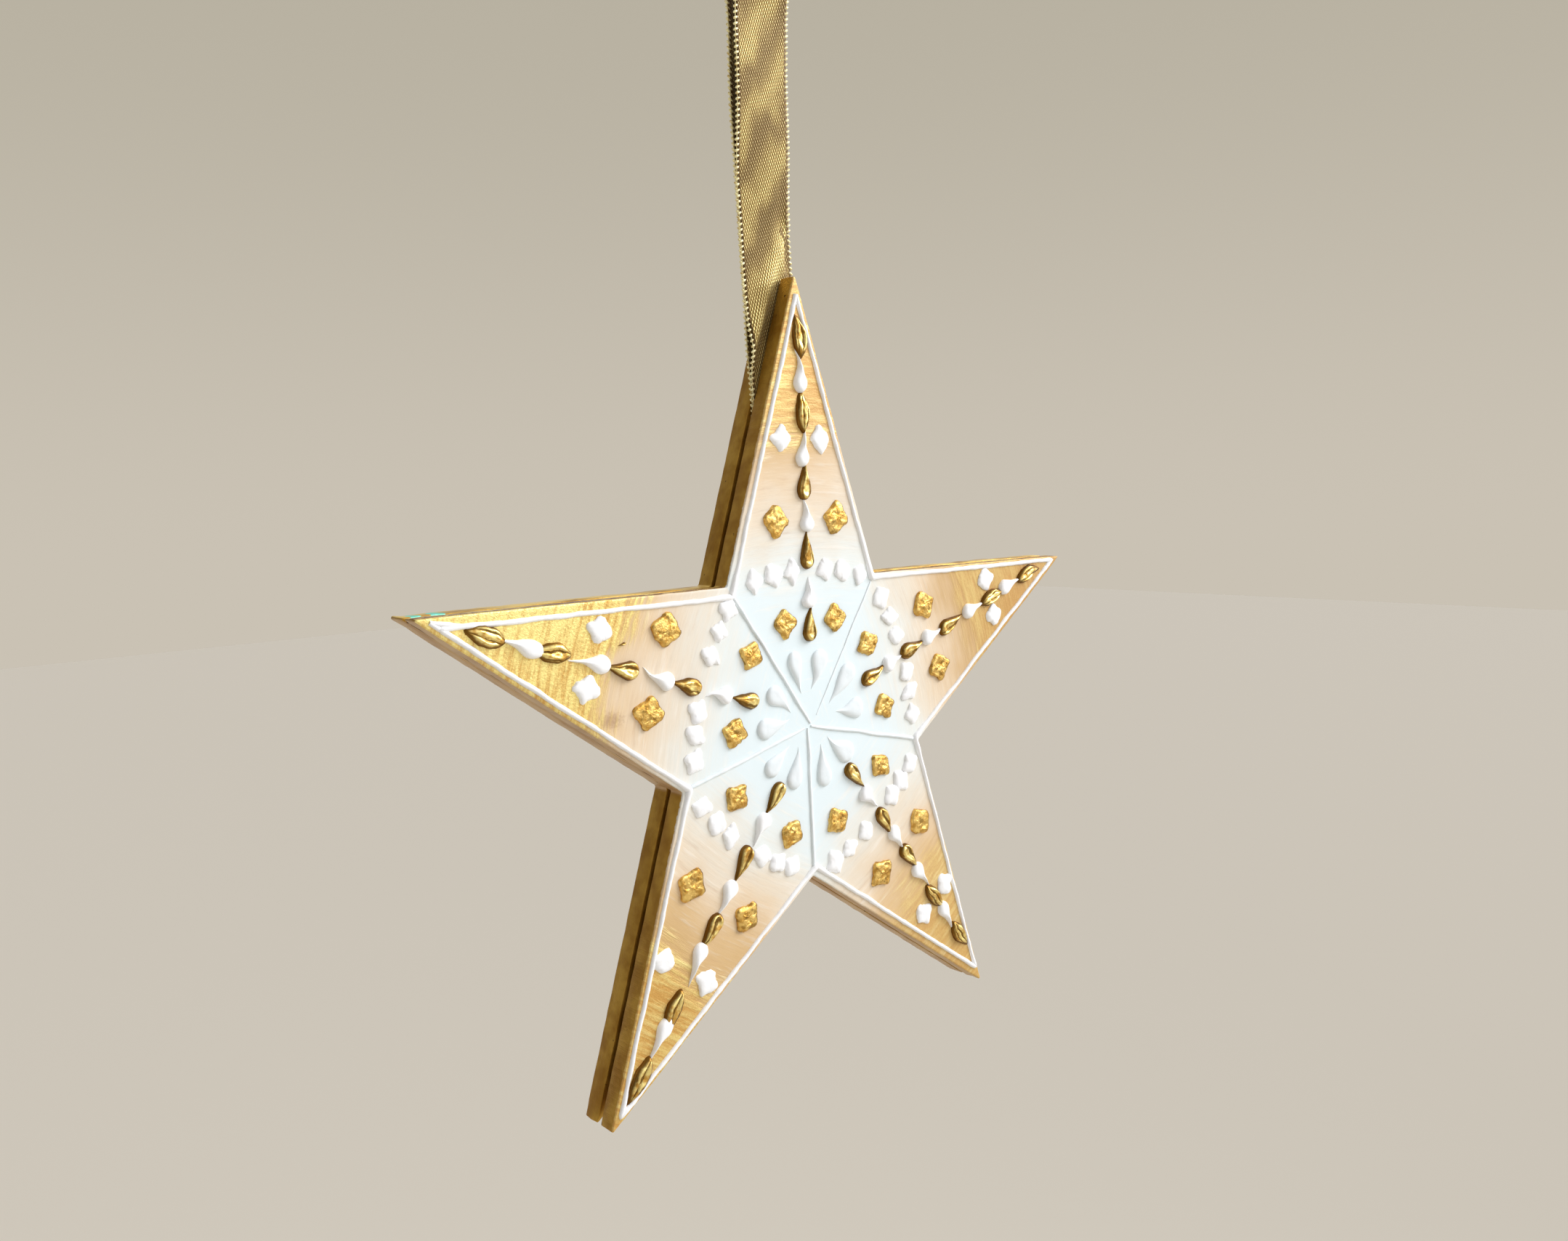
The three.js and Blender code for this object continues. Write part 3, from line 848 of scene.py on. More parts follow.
@dataclass(frozen=True)
class PaintedFace:
    """The front star's paint: cool white in the middle, peach beyond, and gold at the tips."""

    sides: GoldSides = GoldSides()
    # Colour by distance along an arm
    zones: tuple[tuple[float, Colour], ...] = (
        (0, tone(226, 240, 244)),
        (14, tone(228, 240, 243)),
        (20, tone(231, 234, 229)),
        (26, tone(231, 221, 203)),
        (32, tone(231, 209, 178)),
        (38, tone(226, 195, 148)),
        (44, tone(219, 184, 128)),
        (52, tone(214, 178, 114)),
        (70, tone(210, 172, 102)),
    )
    dry_stroke: Colour = tone(248, 246, 240)
    dark_stroke: Colour = tone(200, 160, 112)
    deep_tan: Colour = tone(188, 148, 88)
    gold_dark: Colour = tone(214, 162, 78)
    gold_bright: Colour = tone(255, 234, 150)
    # The brown smudge on the left arm, across and up from the centre
    smudge: Colour = tone(160, 118, 84)
    smudge_at: Point = (-38.0, 4.4)
    gilding: tuple[ArmGilding, ...] = (
        ArmGilding(-2, 44, 0.8, -0.3, 0.4), ArmGilding(-1, 38, 1.0, 0.3, 0.0, 0.5),
        ArmGilding(0, 44.5, 0.55, -0.45, 0.45, 5.0), ArmGilding(1, 40, 0.35, -0.5, 1.0),
        ArmGilding(2, 41, 0.4, -0.3, 0.3, 1.5),
    )

    def make(self, star: StarLayout) -> bpy.types.Material:
        """The material of the front star's plate.

        Args:
            star: The star's layout.

        Returns:
            The material.
        """
        surface = Surface("painted_face")
        place = surface.place(star)
        x, y, z = surface.split(place)
        angle = x.apply("ARCTAN2", z)
        arm = (angle / star.arm_turn).apply("ROUND")
        local = angle - arm * star.arm_turn
        radius = (x * x + z * z).apply("SQRT")
        along = radius * local.apply("COSINE")
        across = radius * local.apply("SINE")
        here = [arm.apply("COMPARE", float(gilt.arm), 0.5) for gilt in self.gilding]

        def by_arm(values: Iterable[float]) -> Wire:
            """Each arm's own number, found on that arm."""
            return sum((where * value for where, value in zip(here, values)), 0.0)

        # Brush strokes run across the arm in shallow bows, each arm with its own
        bowed = along + across * across * 0.006
        strokes = surface.noise(surface.vector(bowed, across * 0.09, arm * 7.3), 1.0, 4.0, 0.6)
        bristles = surface.noise(
            surface.vector(bowed * 1.5, across * 0.17, arm * 5.1), 1.0, 5.0, 0.66
        )
        clouds = surface.noise(place, 0.11, 2.0, 0.5)
        glitter = surface.noise(place, 2.4, 2.0, 0.7)

        # The colours by distance, with ragged borders and dry strokes over them
        outwards = by_arm(gilt.outwards for gilt in self.gilding)
        level = along - outwards * along.rise(5, 20) + (clouds - 0.5) * 12 + (strokes - 0.5) * 9
        stops = [(at / star.tip_radius, colour) for at, colour in self.zones]
        colour = surface.ramp(level / star.tip_radius, stops)
        dry = (strokes - 0.5) * 1.6 + (bristles - 0.5) * 1.2
        colour = surface.mix(dry.rise(0.02, 0.5) * 0.4, colour, self.dry_stroke)
        dark = (-dry).rise(0.05, 0.6) * along.rise(16, 34) * 0.45
        colour = surface.mix(dark, colour, self.dark_stroke)
        smudge_x, smudge_z = self.smudge_at
        from_smudge = surface.vector((x - smudge_x) * 0.55, 0.0, z - smudge_z)
        far = surface.vector_math("LENGTH", from_smudge, out=1) + glitter * 1.6
        colour = surface.mix((1 - far.rise(1.0, 2.6)) * 0.6, colour, self.smudge)

        # Gold over the tan tips
        tanned = by_arm(gilt.tanned for gilt in self.gilding)
        colour = surface.mix(tanned * level.rise(28, 46), colour, self.deep_tan)
        start = by_arm(gilt.start for gilt in self.gilding)
        thick = by_arm(gilt.thickness for gilt in self.gilding)
        gold = (level + outwards + (bristles - 0.5) * 9 - start).rise(-2.5, 3.0) * thick
        # The gleam is partly the gold's own streaky tone and partly painted sheen: bright and dark
        # streaks, plus each arm's painted highlight or shade towards its tip and clockwise side
        gleam = (bristles + strokes * 0.6 + glitter * 0.3 - 0.95).rise(-0.24, 0.2)
        extra = by_arm(gilt.gleam for gilt in self.gilding)
        extra = extra * along.rise(43, 50) * (across.rise(-5, 4) * 1.1 + 0.1)
        gleam = (gleam + extra).apply("MAXIMUM", 0.0).apply("MINIMUM", 1.0)
        colour = surface.mix(gold, colour, surface.mix(gleam, self.gold_dark, self.gold_bright))

        # The sides' gold-brown paint ends raggedly at the rim of the face
        depth = y + star.face_level + (surface.noise(place, 1.7, 3.0, 0.6) - 0.5) * 0.6
        side = depth.rise(0.2, 0.4)
        metal = gold * (gleam * 0.35 + 0.4) * (1 - side)
        surface.give(
            base_color=surface.mix(side, colour, self.sides.colour(surface, place, star)),
            metallic=metal + side * self.sides.metal(surface, place, star),
            roughness=0.55 - gold * 0.15 + (bristles - 0.5) * 0.25,
        )
        ridges = (strokes * 0.5 + bristles * 0.4) * along.rise(8, 30)
        surface.bump(ridges + (bristles * 1.2 + glitter) * gold, 0.5, 0.16)
        return surface.material


@dataclass(frozen=True)
class WhitePaint:
    """Thick white paint in two close shades that drift into each other."""

    name: str
    base: Colour
    drift: Colour
    # Scale of the drift, and the levels of noise between which one shade turns into the other
    patches: tuple[float, float, float]
    roughness: float
    coat: float
    skin_scale: float

    def make(self, star: StarLayout) -> bpy.types.Material:
        """The material of the white marks or lines.

        Args:
            star: The star's layout.

        Returns:
            The material.
        """
        surface = Surface(self.name)
        place = surface.place(star)
        scale, low, high = self.patches
        drifted = surface.noise(place, scale, 3.0, 0.6).rise(low, high)
        surface.give(
            base_color=surface.mix(drifted, self.base, self.drift),
            roughness=self.roughness,
            coat_weight=self.coat,
        )
        surface.bump(surface.noise(place, self.skin_scale, 3.0, 0.5), 0.2, 0.1)
        return surface.material


# Glossy white, piped and dabbed
RAISED_WHITE = WhitePaint(
    "raised_white", tone(253, 254, 255), tone(248, 250, 254), (0.5, 0.45, 0.75), 0.26, 0.3, 2.2
)
# The cooler white of the petals and spokes, which melt into the face's own white
PETAL_WHITE = WhitePaint(
    "petal_white", tone(236, 243, 246), tone(230, 239, 242), (0.4, 0.4, 0.7), 0.35, 0.0, 1.8
)


class GoldSkin(Enum):
    """How a gold mark's paint dried: drops in a fold or two, leaves in more, dabs crumpled."""

    DROP = "raised_gold_drops"
    LEAF = "raised_gold_leaves"
    DAB = "raised_gold_dabs"


# Folds across the width of each kind of mark that has them
FOLD_COUNTS = {GoldSkin.DROP: 1.5, GoldSkin.LEAF: 2.6}


def paint_folds(bench: NodeBench, marks: dict[str, Wire], count: "Wire | float") -> Wire:
    """The lengthwise folds of a mark's skin.

    Args:
        bench: The tree that the folds are worked out in.
        marks: What the mark's points carry: "lane", -1 and 1 at its two rims, "along", and
            "whim", the mark's own number.
        count: Folds across the mark.

    Returns:
        1 in the folds, and 0 on the ridges between them.
    """
    lane, along, whim = marks["lane"], marks["along"], marks["whim"]
    wrinkled = bench.noise(bench.vector(lane * 1.2, along * 2.6, whim * 7), 1.0, 3.0, 0.6)
    swell = (lane * count * 0.5 + (wrinkled - 0.5) * 0.9 + whim).wave() * 0.5 + 0.5
    return swell * swell * swell


@dataclass(frozen=True)
class RaisedGold:
    """Thick metallic gold paint, with painted shade and dark reflection at its rim and down in its
    folds.
    """

    skin: GoldSkin
    base: Colour = tone(255, 232, 150)
    dabbed: Colour = tone(244, 206, 120)
    metallic: float = 0.85
    deep: Colour = tone(210, 160, 74)
    # Painted shade and dark reflection, laid round the rim and in the folds and creases
    rim: Colour = tone(116, 80, 24)

    def make(self, star: StarLayout) -> bpy.types.Material:
        """The material of the gold marks with this skin.

        Args:
            star: The star's layout.

        Returns:
            The material.
        """
        surface = Surface(self.skin.value)
        place = surface.place(star)
        crumpled = self.skin is GoldSkin.DAB
        crown = surface.carried("crown")
        uneven = surface.noise(place, 1.0 if crumpled else 0.8, 3.0, 0.55)
        full = self.dabbed if crumpled else self.base
        colour = surface.mix(uneven.rise(0.36, 0.6), self.deep, full)
        if crumpled:
            # Painted shade and dark reflection on the rim's right side and down in the creases
            right, _, _ = surface.split(surface.add("ShaderNodeNewGeometry", out="Normal"))
            rim = right.rise(0.15, 0.6) * (1 - crown.rise(0.4, 0.9))
            low = (0.46 - surface.noise(place, 0.9, 2.0, 0.5)).rise(0.0, 0.1) * 0.55
        else:
            marks = {name: surface.carried(name) for name in ("lane", "along", "whim")}
            # Painted shade and dark reflection round the rim and down in the folds
            rim = 1 - crown.rise(0.08, 0.72)
            low = paint_folds(surface, marks, FOLD_COUNTS[self.skin]).rise(0.3, 0.8) * 0.9
        surface.give(
            base_color=surface.mix(rim.apply("MAXIMUM", low), colour, self.rim),
            metallic=self.metallic,
            roughness=uneven * 0.25 + 0.2,
        )
        fine = surface.noise(place, 4.5 if crumpled else 3.0, 4.0, 0.65)
        surface.bump(fine, 0.7 if crumpled else 0.3, 0.12)
        return surface.material


@dataclass(frozen=True)
class Satin:
    """Gold satin: short bright floats in steep slanting rows on a darker ground, with painted sheen
    bands and a painted highlight along the crease.
    """

    float_light: Colour = tone(238, 221, 150)
    ground: Colour = tone(142, 110, 40)
    shade: Colour = tone(104, 77, 26)
    edge: Colour = tone(96, 70, 24)
    metallic: float = 0.5
    sheen: float = 0.1
    sheen_roughness: float = 0.4
    width: float = 10.0
    # Where the dark rim starts and is full, from the ribbon's middle
    rim: Point = (4.4, 4.65)
    # Distance between rows of floats and between floats, and how far the rows lean
    row_pitch: float = 0.38
    float_pitch: float = 0.6
    slant: float = 0.36
    # Broad slanting bands where the weave catches the light
    band_pitch: float = 13.0
    band_lean: float = 1.3
    # A painted highlight along the crease above the star's tip: where it crosses the middle, how
    # steep, and how wide
    crease_highlight_at: float = 3.15
    crease_highlight_lean: float = 1.9
    crease_reach: float = 1.5

    def make(self) -> bpy.types.Material:
        """The material of the ribbon, which reads the ribbon's own map.

        Returns:
            The material.
        """
        surface = Surface("satin")
        u, v, _ = surface.split(surface.add("ShaderNodeUVMap", {"uv_map": "ribbon_map"}))
        across = (u - 0.5) * self.width
        along = v * self.width
        steep = math.sqrt(1 - self.slant**2)
        row = (across * steep - along * self.slant) / self.row_pitch
        beat = (along * steep + across * self.slant) / self.float_pitch + row * 0.5
        thread = row.wave() * 0.62 + beat.wave() * 0.38
        clouds = surface.noise(surface.vector(across * 0.2, along * 0.1, 0.0), 1.0, 2.0)
        band = (along - across * self.band_lean) / self.band_pitch + clouds * 1.2
        crease = (along - self.crease_highlight_at * self.width - across * self.crease_highlight_lean).hump(
            self.crease_reach * self.crease_highlight_lean
        )
        # Painted sheen and shade: the bands, clouds and crease highlight move the colour between shade
        # and ground, and brighten the floats
        swell = band.wave() * 0.32 + clouds * 0.5 + 0.1 + crease * 0.7
        colour = surface.mix(swell, self.shade, self.ground)
        bright = (thread + swell * 0.5).rise(0.15, 0.8)
        colour = surface.mix(bright * (swell * 0.5 + 0.3), colour, self.float_light)
        rim = across.apply("ABSOLUTE").rise(*self.rim)
        surface.give(
            base_color=surface.mix(rim, colour, self.edge),
            metallic=self.metallic,
            roughness=0.42 - thread * 0.12,
            sheen_weight=self.sheen,
            sheen_roughness=self.sheen_roughness,
        )
        surface.bump(thread, 0.7, 0.08)
        return surface.material


@dataclass(frozen=True)
class Thread:
    """Gold thread of the ribbon's looped selvedge."""

    base: Colour = tone(253, 244, 192)
    deep: Colour = tone(206, 176, 108)
    metallic: float = 0.3

    def make(self, star: StarLayout) -> bpy.types.Material:
        """The material of the selvedge.

        Args:
            star: The star's layout.

        Returns:
            The material.
        """
        surface = Surface("selvedge_thread")
        ply = surface.noise(surface.place(star), 2.4, 2.0)
        surface.give(
            base_color=surface.mix(ply.rise(0.3, 0.55), self.deep, self.base),
            metallic=self.metallic,
            roughness=ply * 0.3 + 0.25,
        )
        return surface.material


@dataclass(frozen=True)
class DriedGlue:
    """The dark glue line between the two stars, painted over along the tan edge."""

    base: Colour = tone(70, 26, 10)
    pale: Colour = tone(122, 72, 30)
    sides: GoldSides = GoldSides()

    def make(self, star: StarLayout) -> bpy.types.Material:
        """The material of the glue bed.

        Args:
            star: The star's layout.

        Returns:
            The material.
        """
        surface = Surface("dried_glue")
        place = surface.place(star)
        uneven = surface.noise(place, 0.8, 4.0, 0.6)
        glue = surface.mix(uneven.rise(0.5, 0.8), self.base, self.pale)
        painted = self.sides.colour(surface, place, star)
        covered = self.sides.tan_share(surface, place, star)
        surface.give(
            base_color=surface.mix(covered, glue, painted), roughness=uneven * 0.4 + 0.4
        )
        return surface.material


@dataclass
class StarPlate:
    """One flat wooden star with softened edges and the unevenness of a hand-cut blank."""

    star: StarLayout
    name: str
    near: float
    far: float
    seed: float
    edge_round: float = 0.22
    back_round: float = 0.14
    # How far in from the edge the flat of each side begins
    rim: float = 0.6
    edge_steps: int = 44
    corner_steps: int = 6
    # How far the edge strays, along the arms and at the tips
    unevenness: float = 0.07
    tip_wear: float = 0.14
    # Stretches of the edge that are seen as its tip, from the tip's own end
    tip_reach: tuple[float, float] = (5.0, 0.5)

    def _profile(self) -> list[Point]:
        """The plate's edge from its outer face to its inner one, as (inset, level).

        Returns:
            The stations of the edge.
        """
        away = 1 if self.near > self.far else -1
        quarter = math.pi / 2
        profile = [(self.rim, self.near)]
        for turn in (quarter * step / 4 for step in range(5)):
            inset = self.edge_round * (1 - math.sin(turn))
            profile.append((inset, self.near - away * self.edge_round * (1 - math.cos(turn))))
        profile.append((0.0, (self.near + self.far) / 2))
        for turn in (quarter * step / 2 for step in range(3)):
            inset = self.back_round * (1 - math.cos(turn))
            profile.append((inset, self.far + away * self.back_round * (1 - math.sin(turn))))
        profile.append((self.rim, self.far))
        return profile

    def _worn(self, spot: Vector, outward: Vector, level: float) -> Vector:
        """Moves a point of the edge a little in or out, more at the tips.

        Args:
            spot: A point of the outline.
            outward: The way out of the plate there.
            level: How far in front of the middle it lies.

        Returns:
            The point's new place.
        """
        far, near = (self.star.tip_radius - reach for reach in self.tip_reach)
        where = Vector((spot.x * 0.35, level * 0.6 + self.seed, spot.y * 0.35))
        fine = Vector((spot.x * 1.3, level * 1.1 + self.seed, spot.y * 1.3))
        reach = blend(self.unevenness, self.tip_wear, smooth(far, near, spot.length))
        amount = noise.noise(where) * reach + noise.noise(fine) * reach * 0.6 - reach * 0.3
        return spot + outward * amount

    def mesh(self) -> bpy.types.Mesh:
        """The plate as one closed mesh.

        Returns:
            The mesh, in the row's frame.
        """
        full = self.star.rounded([0.0], self.edge_steps, self.corner_steps)
        count = len(full)
        outwards = []
        for i in range(count):
            run = (full[(i + 1) % count] - full[i - 1]).normalized()
            outwards.append(Vector((-run.y, run.x)))
        points = []
        profile = self._profile()
        for inset, level in profile:
            ring = self.star.rounded([inset], self.edge_steps, self.corner_steps)
            for spot, outward in zip(ring, outwards):
                moved = self._worn(spot, outward, level) if inset < self.rim else spot
                points.append(self.star.place(moved.x, moved.y, level))
        faces = ring_faces(len(profile), count)
        if self.near < self.far:
            faces = turned_over(faces)
        return close_mesh(self.name, points, faces)

    def build(self, slot: Slot, material: bpy.types.Material) -> bpy.types.Object:
        """The plate as a piece, standing for its node."""
        return show(self.name, self.mesh(), material)


@dataclass
class GlueBed:
    """The recessed line of dried glue in the seam, flush along the one edge painted over."""

    star: StarLayout
    inset: float = 1.75
    # Two edges by number with less inset: the painted one, and its neighbour at the tip
    less_inset: tuple[Point, ...] = ((9, 0.05), (8, 0.5))
    waver: float = 0.3
    # How far the bed is let into each plate
    let_in: float = 0.05
    edge_steps: int = 30
    corner_steps: int = 4

    def build(self, material: bpy.types.Material) -> bpy.types.Object:
        """The glue as a piece, let a little into both plates.

        Args:
            material: The dried glue.

        Returns:
            The glue bed.
        """
        insets = [self.inset] * (2 * self.star.arms)
        for edge, inset in self.less_inset:
            insets[edge] = inset
        outline = self.star.rounded(insets, self.edge_steps, self.corner_steps)
        normal = self.star.edge_normal(self.less_inset[0][0])
        half = self.star.seam / 2 + self.let_in
        levels = ((half, 0.0), (half * 0.35, 0.14), (-half * 0.35, 0.1), (-half, 0.0))
        points = []
        for level, draw in levels:
            for spot in outline:
                buried = smooth(0.3, 1.2, self.star.edge_distance - spot.dot(normal))
                bulge = noise.noise(Vector((spot.x * 0.3, level, spot.y * 0.3))) * self.waver
                moved = spot + spot.normalized() * (bulge - draw) * buried
                points.append(self.star.place(moved.x, moved.y, level))
        faces = turned_over(ring_faces(len(levels), len(outline)))
        return show("seam_glue", close_mesh("seam_glue", points, faces), material)


@dataclass(frozen=True)
class Mark:
    """One drop or dab: its middle, the way it points, its size, and how its tail bends."""

    x: float
    z: float
    turn: float
    width: float
    length: float
    height: float
    bend: float = 0.0


@dataclass(frozen=True)
class MarkShape:
    """The unit shape of a kind of mark, 1 long and 1 wide, pointing up, lying in the plane."""

    name: str
    sides: int
    heights: tuple[Point, ...]
    outline: Callable[[float], Point]
    heart: Point
    tail_fall: float = 0.0

    def build(self) -> bpy.types.Object:
        """The shape as an object outside the scene, its points numbered for the tree.

        Returns:
            The object.
        """
        points, crown, along, lane = [], [], [], []
        for reach, high in self.heights:
            for side in range(self.sides):
                x, z = self.outline(math.tau * side / self.sides)
                spot = Vector(self.heart).lerp(Vector((x, z)), reach)
                lowered = high * (1 - self.tail_fall * smooth(0.0, 0.5, spot.y))
                points.append(Vector((spot.x, -lowered, spot.y)))
                crown.append(smooth(0.0, 0.45, 1 - reach))
                along.append(spot.y)
                lane.append(spot.x / self._half_width(spot.y))
        faces = turned_over(ring_faces(len(self.heights), self.sides))
        mesh = close_mesh(self.name, points, faces)
        give_numbers(mesh, "crown", crown)
        give_numbers(mesh, "along", along)
        give_numbers(mesh, "lane", lane)
        return bpy.data.objects.new(self.name, mesh)

    def _half_width(self, height: float) -> float:
        """Half the shape's width at a height."""
        spots = [self.outline(math.pi * i / 40) for i in range(41)]
        return max(along_stations(sorted((z, abs(x)) for x, z in spots), height), 0.02)


DROP_NOSE = 0.25


@dataclass(frozen=True)
class Taper:
    """How a drop narrows from its nose to its tail: how fast, how long it stays full, and how
    wide the tail is drawn out."""

    fall: float
    fullness: float
    tail: float = 0.0

    def outline(self, angle: float) -> Point:
        """A drop 1 long and 1 wide: its round nose below, its tail's tip above.

        Args:
            angle: Angle round the outline, from 0 at its foot to a whole turn.

        Returns:
            The point there.
        """
        share = (1 - math.cos(angle)) / 2
        side = 1 if angle <= math.pi else -1
        if share < DROP_NOSE:
            half = math.sqrt(DROP_NOSE**2 - (DROP_NOSE - share) ** 2) / DROP_NOSE
        else:
            gone = (share - DROP_NOSE) / (1 - DROP_NOSE)
            half = (1 - gone) ** self.fall * (1 + self.fullness * gone)
            half += self.tail * gone * (1 - gone**6)
        return (side * half / 2, share - 0.5)


def leaf_outline(angle: float) -> Point:
    """A plump leaf 1 long and 1 wide, blunt below and pointed above.

    Args:
        angle: Angle round the outline, from 0 at its foot to a whole turn.

    Returns:
        The point there.
    """
    share = (1 - math.cos(angle)) / 2
    side = 1 if angle <= math.pi else -1
    half = math.sin(math.pi * share**0.85) ** 0.8
    return (side * half / 2, share - 0.5)


@dataclass(frozen=True)
class Corners:
    """A dab of paint with four drawn-out corners and hollow sides between them."""

    middle: float
    reach: float
    spike: float

    def outline(self, angle: float) -> Point:
        """The dab's outline, 1 across its corners."""
        out = self.middle + self.reach * math.cos(4 * angle) + self.spike * math.cos(8 * angle)
        return (out * math.sin(angle), out * math.cos(angle))


# How the paint stands up from rim to middle: share of the way out, and share of the height
GOLD_CROWN = (
    (1.0, -0.35), (1.0, 0.0), (0.985, 0.2), (0.94, 0.42), (0.87, 0.64), (0.78, 0.82), (0.68, 0.94),
    (0.58, 1.0), (0.48, 0.98), (0.38, 0.9), (0.27, 0.84), (0.17, 0.84), (0.08, 0.86),
)
WHITE_CROWN = (
    (1.0, -0.35), (1.0, 0.0), (0.985, 0.22), (0.94, 0.44), (0.86, 0.66), (0.74, 0.84), (0.6, 0.95),
    (0.44, 1.0), (0.28, 1.01), (0.12, 1.01),
)
DAB_CROWN = (
    (1.0, -0.4), (1.0, 0.0), (0.985, 0.34), (0.95, 0.62), (0.89, 0.8), (0.82, 0.88), (0.74, 0.92),
    (0.66, 0.93), (0.58, 0.94), (0.5, 0.96), (0.42, 0.98), (0.34, 1.0), (0.26, 1.0), (0.17, 1.0),
    (0.08, 1.0),
)
GOLD_DROP = MarkShape(
    "gold_drop", 44, GOLD_CROWN, Taper(1.7, 1.3, 0.12).outline, (0.0, -0.24), 0.55
)
GOLD_LEAF = MarkShape("gold_leaf", 44, GOLD_CROWN, leaf_outline, (0.0, -0.08), 0.5)
WHITE_DROP = MarkShape(
    "white_drop", 40, WHITE_CROWN, Taper(4.0, 3.2, 0.2).outline, (0.0, -0.25), 0.6
)
PETAL_DROP = MarkShape(
    "petal_drop", 40, WHITE_CROWN, Taper(2.0, 1.5, 0.1).outline, (0.0, -0.25), 0.7
)
GOLD_DAB = MarkShape("gold_dab", 64, DAB_CROWN, Corners(0.435, 0.055, 0.01).outline, (0.0, 0.0))
WHITE_DAB = MarkShape("white_dab", 48, WHITE_CROWN, Corners(0.44, 0.05, 0.006).outline, (0.0, 0.0))


def mark_tree() -> GrowingTree:
    """The tree that lays a shape on each mark's point, and gives every mark a hand of its own.

    Returns:
        The tree, which starts from a point for each mark.
    """
    growing = GrowingTree("lay_marks")
    bench = growing.bench
    shape, = growing.takes("Object", "Shape")
    fold_depth, fold_count, lump_reach, crumple, ragged, seed = growing.takes(
        "Float", "Fold Depth", "Fold Count", "Lump Reach", "Crumple", "Ragged", "Seed"
    )
    paint, = growing.takes("Material", "Paint")
    turn, bend, whim = (growing.named(name) for name in ("turn", "bend", "whim"))
    along, lane, crown = (growing.named(name) for name in ("along", "lane", "crown"))

    unit = bench.add("GeometryNodeObjectInfo", None, {"Object": shape}, "Geometry")
    euler = bench.vector(0.0, turn, 0.0)
    rotation = bench.add("FunctionNodeEulerToRotation", None, {"Euler": euler})
    laid = bench.add(
        "GeometryNodeInstanceOnPoints", None,
        {"Points": growing.geometry, "Instance": unit, "Rotation": rotation,
         "Scale": growing.named("size", "FLOAT_VECTOR")},
    )
    real = bench.add("GeometryNodeRealizeInstances", None, {"Geometry": laid})

    # The tail bends to one side and wriggles a little
    tail = along.apply("MAXIMUM", 0.0)
    sway = bend * tail * tail * 4 + bend * ((along + whim * 0.3) * 9).apply("SINE") * tail * 0.5
    sideways = bench.vector(turn.apply("COSINE"), 0.0, -(turn.apply("SINE")))

    # The skin rises in lumps and creases, and sinks in folds
    place = bench.scaled(bench.add("GeometryNodeInputPosition"), 1 / MM)
    moved = bench.vector_math("ADD", place, bench.vector(whim * 3, seed, 0.0))
    lumps = bench.noise(moved, 0.55, 2.0) - 0.5
    creases = bench.noise(moved, 0.8, 4.0, 0.65) - 0.5
    folds = paint_folds(bench, {"lane": lane, "along": along, "whim": whim}, fold_count)
    rise = (lumps * lump_reach * 2 + creases * crumple * 2 - folds * fold_depth) * crown

    drift = bench.scaled(bench.wander(moved, 0.42, 4.0, 0.62), ragged * MM)
    offset = bench.vector_math("ADD", bench.scaled(sideways, sway * MM), drift)
    offset = bench.vector_math("ADD", offset, bench.vector(0.0, rise * -MM, 0.0))
    shaped = bench.add("GeometryNodeSetPosition", None, {"Geometry": real, "Offset": offset})
    growing.finish(shaped, paint)
    return growing


@dataclass
class PaintMarks:
    """All the marks of one kind of paint and shape, made as one piece."""

    star: StarLayout
    name: str
    shape: MarkShape
    slot: Slot
    marks: list[Mark]
    fold_depth: float = 0.0
    fold_count: float = 0.0
    lump_reach: float = 0.1
    crumple: float = 0.0
    ragged: float = 0.1
    seed: float = 1.0

    def build(self, tree: GrowingTree, material: bpy.types.Material) -> bpy.types.Object:
        """Lays the marks on the face.

        Args:
            tree: The tree from mark_tree.
            material: The marks' paint.

        Returns:
            The marks as one piece.
        """
        draw = random.Random(self.name)
        level = self.star.face_level
        spots = [self.star.place(mark.x, mark.z, level) for mark in self.marks]
        points = bpy.data.meshes.new(f"{self.name}_points")
        points.from_pydata([tuple(spot) for spot in spots], [], [])
        give_numbers(points, "turn", [mark.turn for mark in self.marks])
        give_numbers(points, "bend", [mark.bend for mark in self.marks])
        give_numbers(points, "whim", [draw.uniform(0, 10) for _ in self.marks])
        give_vectors(
            points, "size",
            [Vector((mark.width, mark.height, mark.length)) * MM for mark in self.marks],
        )
        grown = tree.grow(points, {
            "Shape": self.shape.build(),
            "Fold Depth": self.fold_depth,
            "Fold Count": self.fold_count,
            "Lump Reach": self.lump_reach,
            "Crumple": self.crumple,
            "Ragged": self.ragged,
            "Seed": self.seed,
            "Paint": material,
        })
        return show(self.name, grown, material)


